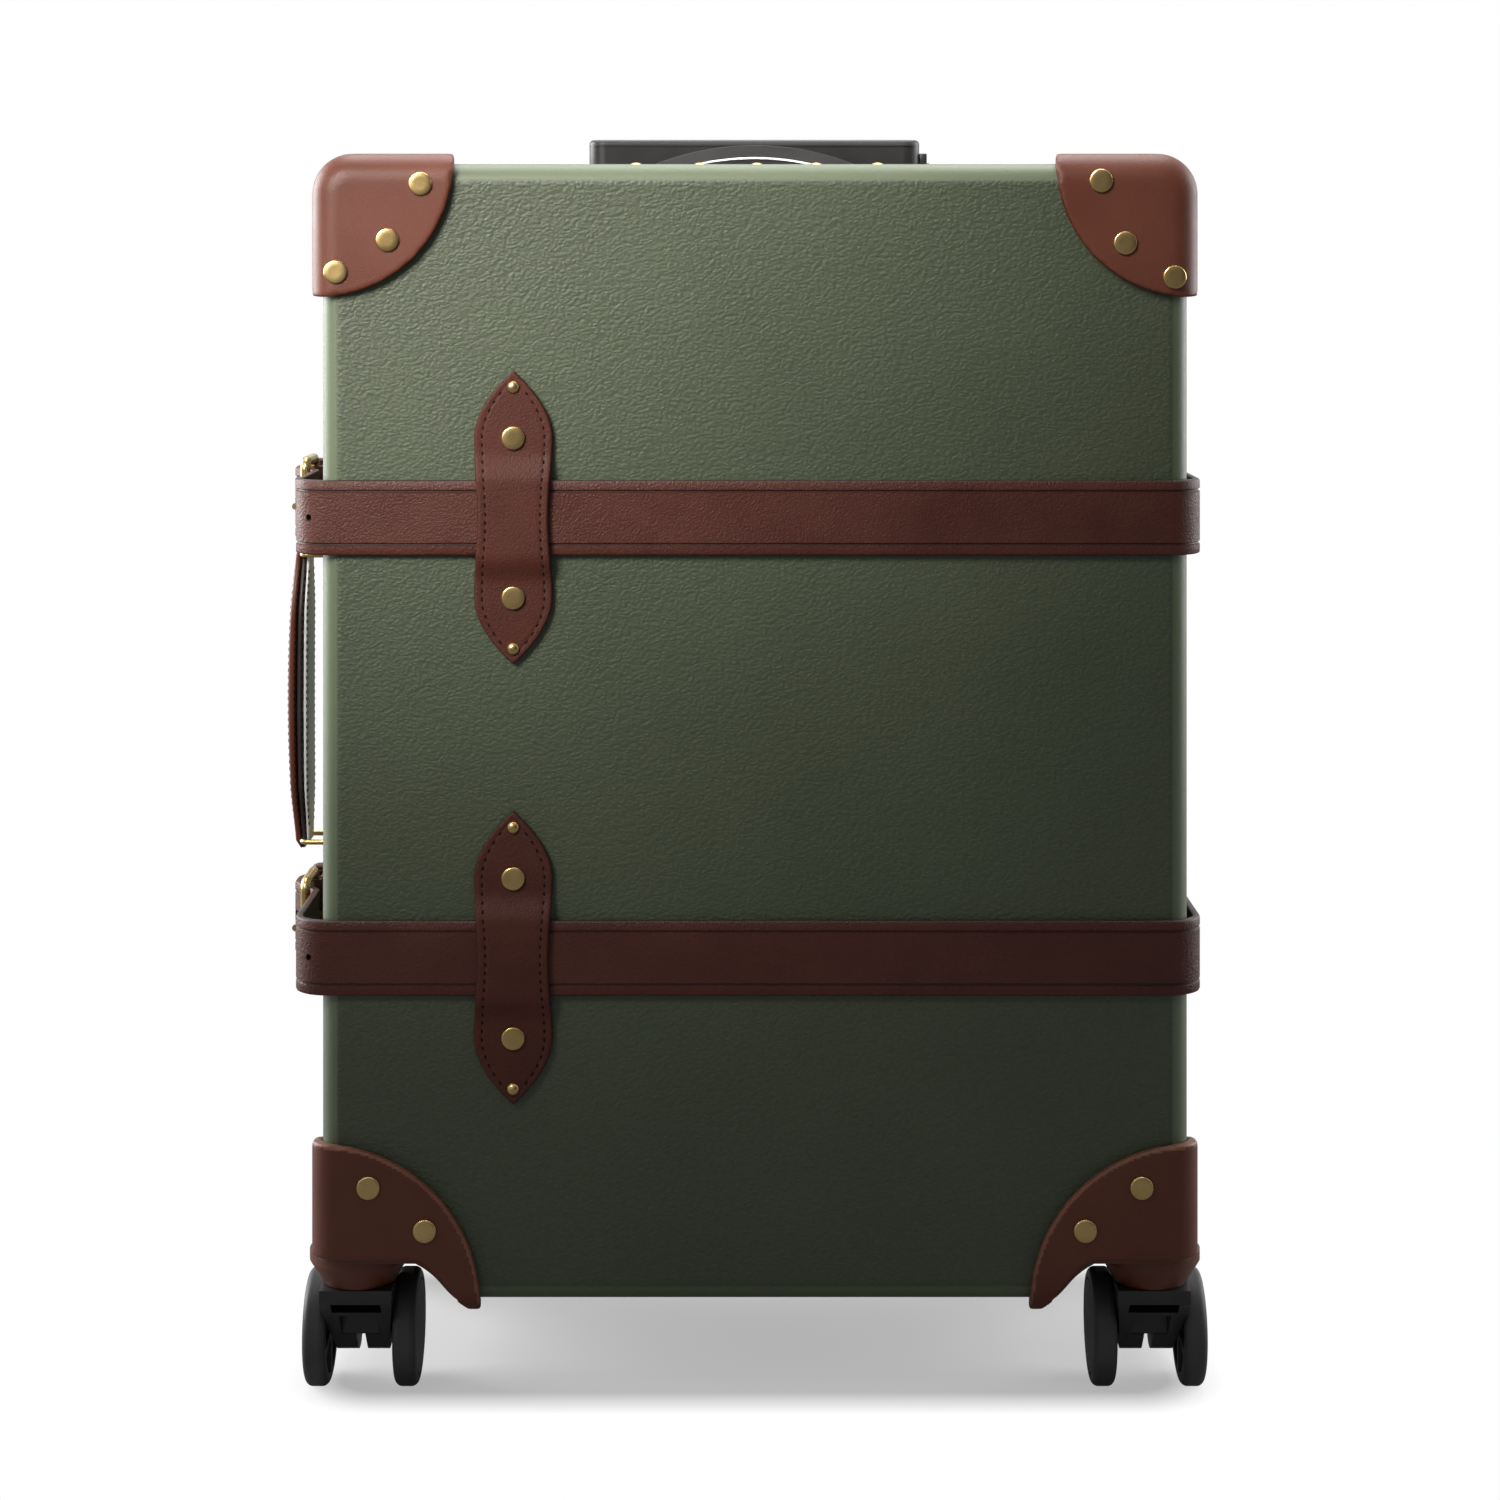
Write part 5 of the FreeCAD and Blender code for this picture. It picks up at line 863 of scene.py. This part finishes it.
gripLow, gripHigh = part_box("carry_handle")
grip = dict(x=-208 * mm, y=10 * mm, z=(gripLow.z + gripHigh.z) / 2,
            half=(gripHigh.z - gripLow.z) / 2 - 3.4 * mm, eye=3.4 * mm, endShare=0.95, leastEnd=0.05,
            bow=3 * mm, thick=9.5 * mm, wide=13 * mm, narrow=7.5 * mm, shoulder=(0.02, 0.42), square=0.35,
            split=0.44, lining=0.76, lap=0.02, steps=44, sides=20)
# stitches on both faces, and along the sides at shares of the thickness
gripSeam = dict(pitch=3.2 * mm, reach=0.88, sunk=0.3 * mm, inset=2.6 * mm,
                size=(0.4 * mm, 0.4 * mm, 1.15 * mm), sideIn=0.4 * mm,
                sideSize=(0.35 * mm, 0.45 * mm, 1.0 * mm),
                shares=(grip["split"] - 0.1, grip["lining"] - 0.06, 0.95))


def gripWidth(t):
    return grip["narrow"] + (grip["wide"] - grip["narrow"]) * smoothStep(*grip["shoulder"], 1 - abs(t))


def gripFaces(t):
    # outer and inner X of the handle at a share of its half length
    outer = -grip["eye"] - grip["bow"] * (1 - t * t)
    inner = grip["eye"] + (grip["thick"] - grip["bow"] - 2 * grip["eye"]) * (1 - t * t)
    return grip["x"] + outer, grip["x"] + inner


def gripLayer(name, near, far, material, shrink, puff):
    # one layer between two shares of the thickness
    bm = bmesh.new()
    face = None
    total = grip["half"] + grip["eye"] * grip["endShare"]
    sides = grip["sides"]
    for step in range(grip["steps"] + 1):
        zed = -total + 2 * total * step / grip["steps"]
        t = max(-1.0, min(1.0, zed / grip["half"]))
        past = max(0.0, abs(zed) - grip["half"]) / grip["eye"]
        squeeze = math.sqrt(max(grip["leastEnd"], 1 - past * past))
        outer, inner = gripFaces(t)
        low, high = outer + (inner - outer) * near, outer + (inner - outer) * far
        middle = (low + high) / 2
        if past:
            middle = grip["x"] + (middle - grip["x"]) * squeeze
        deep, wide = (high - low) / 2 * squeeze, gripWidth(t) - shrink
        if face is None:
            ring = []
            for side in range(sides):
                angle = math.tau * side / sides
                c, s = math.cos(angle), math.sin(angle)
                x = middle + deep * math.copysign(abs(c) ** puff, c)
                y = grip["y"] + wide * math.copysign(abs(s) ** grip["square"], s)
                ring.append(bm.verts.new((x, y, grip["z"] + zed)))
            face = bm.faces.new(ring)
            size = (deep, wide, middle, zed)
            continue
        made = bmesh.ops.extrude_face_region(bm, geom=[face])
        verts = [item for item in made["geom"] if isinstance(item, bmesh.types.BMVert)]
        if step > 1:
            bmesh.ops.delete(bm, geom=[face], context="FACES_ONLY")
        face = [item for item in made["geom"] if isinstance(item, bmesh.types.BMFace)][0]
        bmesh.ops.translate(bm, verts=verts, vec=(middle - size[2], 0, zed - size[3]))
        bmesh.ops.scale(bm, verts=verts, vec=(deep / size[0], wide / size[1], 1),
                        space=Matrix.Translation((-middle, -grip["y"], 0)))
        size = (deep, wide, middle, zed)
    closeUp(bm, dist=0.005 * mm)
    obj = newObject(name, bm, material, "carry_handle")
    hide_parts("carry_handle")


split, lining, lap = grip["split"], grip["lining"], grip["lap"]
gripLayer("carry_handle_cover", 0.0, split, finish["leather"], shrink=0.0, puff=0.6)
gripLayer("carry_handle_backing", split - lap, lining + lap, finish["leatherEdgeAndShade"], shrink=0.5 * mm, puff=0.5)
# the pale inner layer is a painted reflection on the handle's glossy inner side
gripLayer("carry_handle_painted_reflection", lining, 1.0, finish["handlePaintedReflection"], shrink=0.3 * mm, puff=0.5)
gripThread = bmesh.new()
count = int(2 * grip["half"] * gripSeam["reach"] / gripSeam["pitch"])
reach = gripSeam["reach"]
places = [(-reach + 2 * reach * index / count) * grip["half"] for index in range(count + 1)]
for sign in (-1, 1):
    for onCover in (True, False):
        for zed in places:
            t = zed / grip["half"]
            outer, inner = gripFaces(t)
            x = outer + gripSeam["sunk"] if onCover else inner - gripSeam["sunk"]
            at = Vector((x, grip["y"] + sign * (gripWidth(t) - gripSeam["inset"]), grip["z"] + zed))
            addStitch(gripThread, at, gripSeam["size"])
    for zed in places:
        t = zed / grip["half"]
        outer, inner = gripFaces(t)
        y = grip["y"] + sign * (gripWidth(t) - gripSeam["sideIn"])
        for share in gripSeam["shares"]:
            at = Vector((outer + (inner - outer) * share, y, grip["z"] + zed))
            addStitch(gripThread, at, gripSeam["sideSize"])
sewn = newObject("carry_handle_stitches", gripThread, finish["thread"], "carry_handle")
print("carry handle done")


# top handle: softened edges, and a pale strip under its arch that is a painted highlight

archLow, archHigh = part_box("top_handle")
archSoft = dict(material="handlePlastic", soft=0.7 * mm, segments=3, limit=40)
arch = dict(radius=126 * mm, thick=5.5 * mm, sunk=0.1 * mm, strip=0.9 * mm, wide=22.4 * mm, reach=24,
            steps=28)
softMoulding("top_handle", **archSoft)
highlightStripMesh = bmesh.new()
archCentre = Vector((0, (archLow.y + archHigh.y) / 2, archHigh.z - arch["radius"]))
inside = arch["radius"] - arch["thick"] + arch["sunk"]
section = [(inside, -0.5), (inside, 0.5), (inside - arch["strip"], 0.5), (inside - arch["strip"], -0.5)]
lean = Matrix.Rotation(math.radians(-arch["reach"]), 3, "Y")
ends = [archCentre + lean @ Vector((0, side * arch["wide"], rise)) for rise, side in section]
stripEnd = highlightStripMesh.faces.new([highlightStripMesh.verts.new(at) for at in ends])
bmesh.ops.spin(highlightStripMesh, geom=[stripEnd], cent=archCentre, axis=(0, 1, 0),
               angle=math.radians(2 * arch["reach"]), steps=arch["steps"])
closeUp(highlightStripMesh)
strip = newObject("top_handle_painted_highlight", highlightStripMesh, finish["paleTrim"], "top_handle", smooth=False)
print("top handle done")


# domed rivets along the rear half's top edge

edgeRivets = dict(y=-12 * mm, z=caseHigh.z, xs=(-54, -25, 1, 28, 56), radius=4 * mm, rise=0.74)
studs = bmesh.new()
for x in edgeRivets["xs"]:
    bmesh.ops.create_uvsphere(studs, u_segments=20, v_segments=12, radius=edgeRivets["radius"],
                              matrix=Matrix.Translation((x * mm, edgeRivets["y"], edgeRivets["z"])) @
                              Matrix.Diagonal((1, 1, edgeRivets["rise"], 1)))
row = newObject("top_edge_rivets", studs, finish["brass"], "base")

# corner and tab rivets: turned heads with a bevelled rim, as share of the radius and mm below the top
rivetHead = dict(profile=((0.0, 0.0), (0.45, 0.0), (0.84, 0.0), (0.92, 0.1), (0.975, 0.3), (1.0, 0.62),
                          (1.0, 2.2)), steps=40, crispAt=50)


def islandsOf(bm):
    # the boxes of the separate solids in one mesh
    left = dict.fromkeys(bm.verts)
    while left:
        todo, group = [left.popitem()[0]], []
        while todo:
            vert = todo.pop()
            group.append(vert.co.copy())
            for edge in vert.link_edges:
                other = edge.other_vert(vert)
                if other in left:
                    left.pop(other)
                    todo.append(other)
        yield (Vector([min(co[axis] for co in group) for axis in range(3)]),
               Vector([max(co[axis] for co in group) for axis in range(3)]))


def turnedRivets(node, body, outward):
    source = bmesh.new()
    source.from_mesh(frame["nodes"][node].data)
    closeUp(source)
    boxes = list(islandsOf(source))
    source.free()
    heads = bmesh.new()
    for low, high in boxes:
        middle = (low + high) / 2
        top = high.y if outward > 0 else low.y
        radius = (high.x - low.x) / 2
        line = [heads.verts.new((middle.x + share * radius, top - outward * deep * mm, middle.z))
                for share, deep in rivetHead["profile"]]
        edges = [heads.edges.new(pair) for pair in zip(line, line[1:])]
        bmesh.ops.spin(heads, geom=line + edges, cent=middle, axis=(0, 1, 0), angle=math.tau,
                       steps=rivetHead["steps"], use_merge=True)
    closeUp(heads, dist=0.01 * mm)
    obj = newObject(node + "_heads", heads, finish["brass"], body)
    crisp(obj, rivetHead["crispAt"])
    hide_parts(node)


turnedRivets("lid_rivets", "lid", -1)
turnedRivets("base_rivets", "base", 1)
print("small brass done")

# the catch that stands on the trolley tray beside the grip
trayLug = dict(x=81.3 * mm, y=74 * mm, low=539.6 * mm, high=544.6 * mm, size=(3.6 * mm, 12 * mm),
               soft=0.6 * mm)
lugMesh = bmesh.new()
addBox(lugMesh, (trayLug["x"], trayLug["y"], (trayLug["low"] + trayLug["high"]) / 2),
       (*trayLug["size"], trayLug["high"] - trayLug["low"]))
bmesh.ops.bevel(lugMesh, geom=lugMesh.edges[:], offset=trayLug["soft"], offset_type="OFFSET", segments=3,
                profile=0.5, affect="EDGES", material=-1)
lug = newObject("trolley_tray_catch", lugMesh, finish["blackPlastic"], "base")
print("tray catch done")


# camera and light

# focal length and horizon in pixels of the square picture
view = dict(focal=3069, pixels=1500, horizon=250, sensor=36, back=1410 * mm, height=498.1 * mm,
            aside=-2.1 * mm)
camera = bpy.data.objects.new("camera", bpy.data.cameras.new("camera"))
scene.collection.objects.link(camera)
camera.location = (view["aside"], -view["back"], view["height"])
camera.rotation_euler = (math.radians(90), 0, 0)
camera.data.lens = view["focal"] / view["pixels"] * view["sensor"]
camera.data.sensor_width = view["sensor"]
camera.data.shift_y = -(view["pixels"] / 2 - view["horizon"]) / view["pixels"]
scene.camera = camera

studio = dict(worldLevel=0.36, frontLevel=0.055, keyShare=0.42, keyFrom=-0.35, keyTo=0.7, backFrom=-0.55,
              backTo=0.05)
# the floor's tone for each kind of ray, and the foot of the case that shades it
ground = dict(size=6.0, rough=0.8, gloss=0.1, glow=0.4, mirror=0.09, toCamera=0.6, toDiffuse=0.35,
              toOther=0.1, foot=(0.165, 0.055, 0.0), shadowFade=0.042)
# place, direction, long side, lengths, spread in degrees, watts, tint
lamps = {
    "keyLeft": ((-0.27, -0.46, 0.76), (0.473, 0.743, -0.473), (1, 0, 1), (0.54, 0.18), 46, 1.16,
                (1.0, 0.96, 0.91)),
    "overTop": ((0.0, 0.35, 1.7), (0.0, -0.3, -1.2), (1, 0, 0), (1.2, 1.2), 180, 29.0, (1.0, 1.0, 1.0)),
    "sideLeft": ((-1.5, 0.55, 0.7), (1.31, -0.55, -0.4), (0, 0, 1), (1.1, 1.1), 180, 48.0, (1.0, 1.0, 1.0)),
    "sideRight": ((1.5, 0.55, 0.7), (-1.31, -0.55, -0.4), (0, 0, 1), (1.1, 1.1), 180, 24.0, (1.0, 1.0, 1.0)),
}
for name, (place, facing, along, lengths, spread, power, tint) in lamps.items():
    lamp = bpy.data.lights.new(name, "AREA")
    lamp.shape = "RECTANGLE"
    lamp.size, lamp.size_y = lengths
    lamp.spread = math.radians(spread)
    lamp.energy = power
    lamp.color = tint
    holder = bpy.data.objects.new(name, lamp)
    scene.collection.objects.link(holder)
    back = -Vector(facing).normalized()
    across = (Vector(along) - back * back.dot(Vector(along))).normalized()
    holder.location = place
    holder.rotation_euler = Matrix((across, back.cross(across), back)).transposed().to_euler()

# white backdrop; reflections find it behind and beside the case, and a dim studio in front
world = bpy.data.worlds.new("studio")
scene.world = world
world.use_nodes = True
wTree = world.node_tree
backdrop = wTree.nodes["Background"]
rays = addNode(wTree, "ShaderNodeLightPath")
way = addNode(wTree, "ShaderNodeSeparateXYZ")
wTree.links.new(addNode(wTree, "ShaderNodeTexCoord").outputs["Generated"], way.inputs[0])
aside = mathNode(wTree, "SUBTRACT", way.outputs["Z"], way.outputs["X"])
keySide = ramp(wTree, aside, studio["keyFrom"], studio["keyTo"])
dim = mathNode(wTree, "ADD", studio["frontLevel"], mathNode(wTree, "MULTIPLY", keySide, studio["keyShare"]))
behind = ramp(wTree, way.outputs["Y"], studio["backFrom"], studio["backTo"])
around = mathNode(wTree, "MAXIMUM", dim, behind)
seen = mathNode(wTree, "MAXIMUM", rays.outputs["Is Camera Ray"], rays.outputs["Is Transmission Ray"])
shown = mathNode(wTree, "MAXIMUM", seen, mathNode(wTree, "MULTIPLY", rays.outputs["Is Glossy Ray"], around))
special = mathNode(wTree, "MAXIMUM", seen, rays.outputs["Is Glossy Ray"])
plain = mathNode(wTree, "MULTIPLY", mathNode(wTree, "SUBTRACT", 1.0, special), studio["worldLevel"])
wTree.links.new(mathNode(wTree, "MAXIMUM", shown, plain), backdrop.inputs["Strength"])
backdrop.inputs["Color"].default_value = (1, 1, 1, 1)


def vectorNode(tree, operation, first, second=None):
    node = addNode(tree, "ShaderNodeVectorMath", operation=operation)
    tree.links.new(first, node.inputs[0])
    if second is not None:
        node.inputs[1].default_value = second
    return node


floorMesh = bmesh.new()
bmesh.ops.create_circle(floorMesh, cap_ends=True, radius=ground["size"], segments=64)
floorMat = bpy.data.materials.new("paleFloor")
floorMat.use_nodes = True
fTree = floorMat.node_tree
floorShader = fTree.nodes["Principled BSDF"]
setIn(floorShader, **{"Roughness": ground["rough"], "Specular IOR Level": ground["gloss"]})
glow = addNode(fTree, "ShaderNodeEmission")
fPlace = addNode(fTree, "ShaderNodeTexCoord").outputs["Object"]
# how far a point of the floor lies outside the case's foot
folded = vectorNode(fTree, "ABSOLUTE", fPlace)
outside = vectorNode(fTree, "SUBTRACT", folded.outputs[0], ground["foot"])
clear = vectorNode(fTree, "MAXIMUM", outside.outputs[0], (0, 0, 0))
away = vectorNode(fTree, "LENGTH", clear.outputs[0])
fade = ramp(fTree, away.outputs["Value"], 0.0, ground["shadowFade"])
far = mathNode(fTree, "MAXIMUM", fade, ground["glow"])
fRays = addNode(fTree, "ShaderNodeLightPath")
fSeen = mathNode(fTree, "MAXIMUM", fRays.outputs["Is Camera Ray"], fRays.outputs["Is Transmission Ray"])
fGlossy = mathNode(fTree, "MULTIPLY", fRays.outputs["Is Glossy Ray"], ground["mirror"])
fSeen = mathNode(fTree, "MAXIMUM", fSeen, fGlossy)
fTone = mixColour(fTree, fRays.outputs["Is Diffuse Ray"], (ground["toOther"],) * 3,
                  (ground["toDiffuse"],) * 3)
fTone = mixColour(fTree, fRays.outputs["Is Camera Ray"], fTone, (ground["toCamera"],) * 3)
fTree.links.new(fTone, floorShader.inputs["Base Color"])
fMix = addNode(fTree, "ShaderNodeMixShader")
fTree.links.new(mathNode(fTree, "MULTIPLY", far, fSeen), fMix.inputs[0])
fTree.links.new(floorShader.outputs[0], fMix.inputs[1])
fTree.links.new(glow.outputs[0], fMix.inputs[2])
fTree.links.new(fMix.outputs[0], fTree.nodes["Material Output"].inputs["Surface"])
floor = newObject("floor", floorMesh, floorMat, smooth=False)
print("camera, light and floor done")
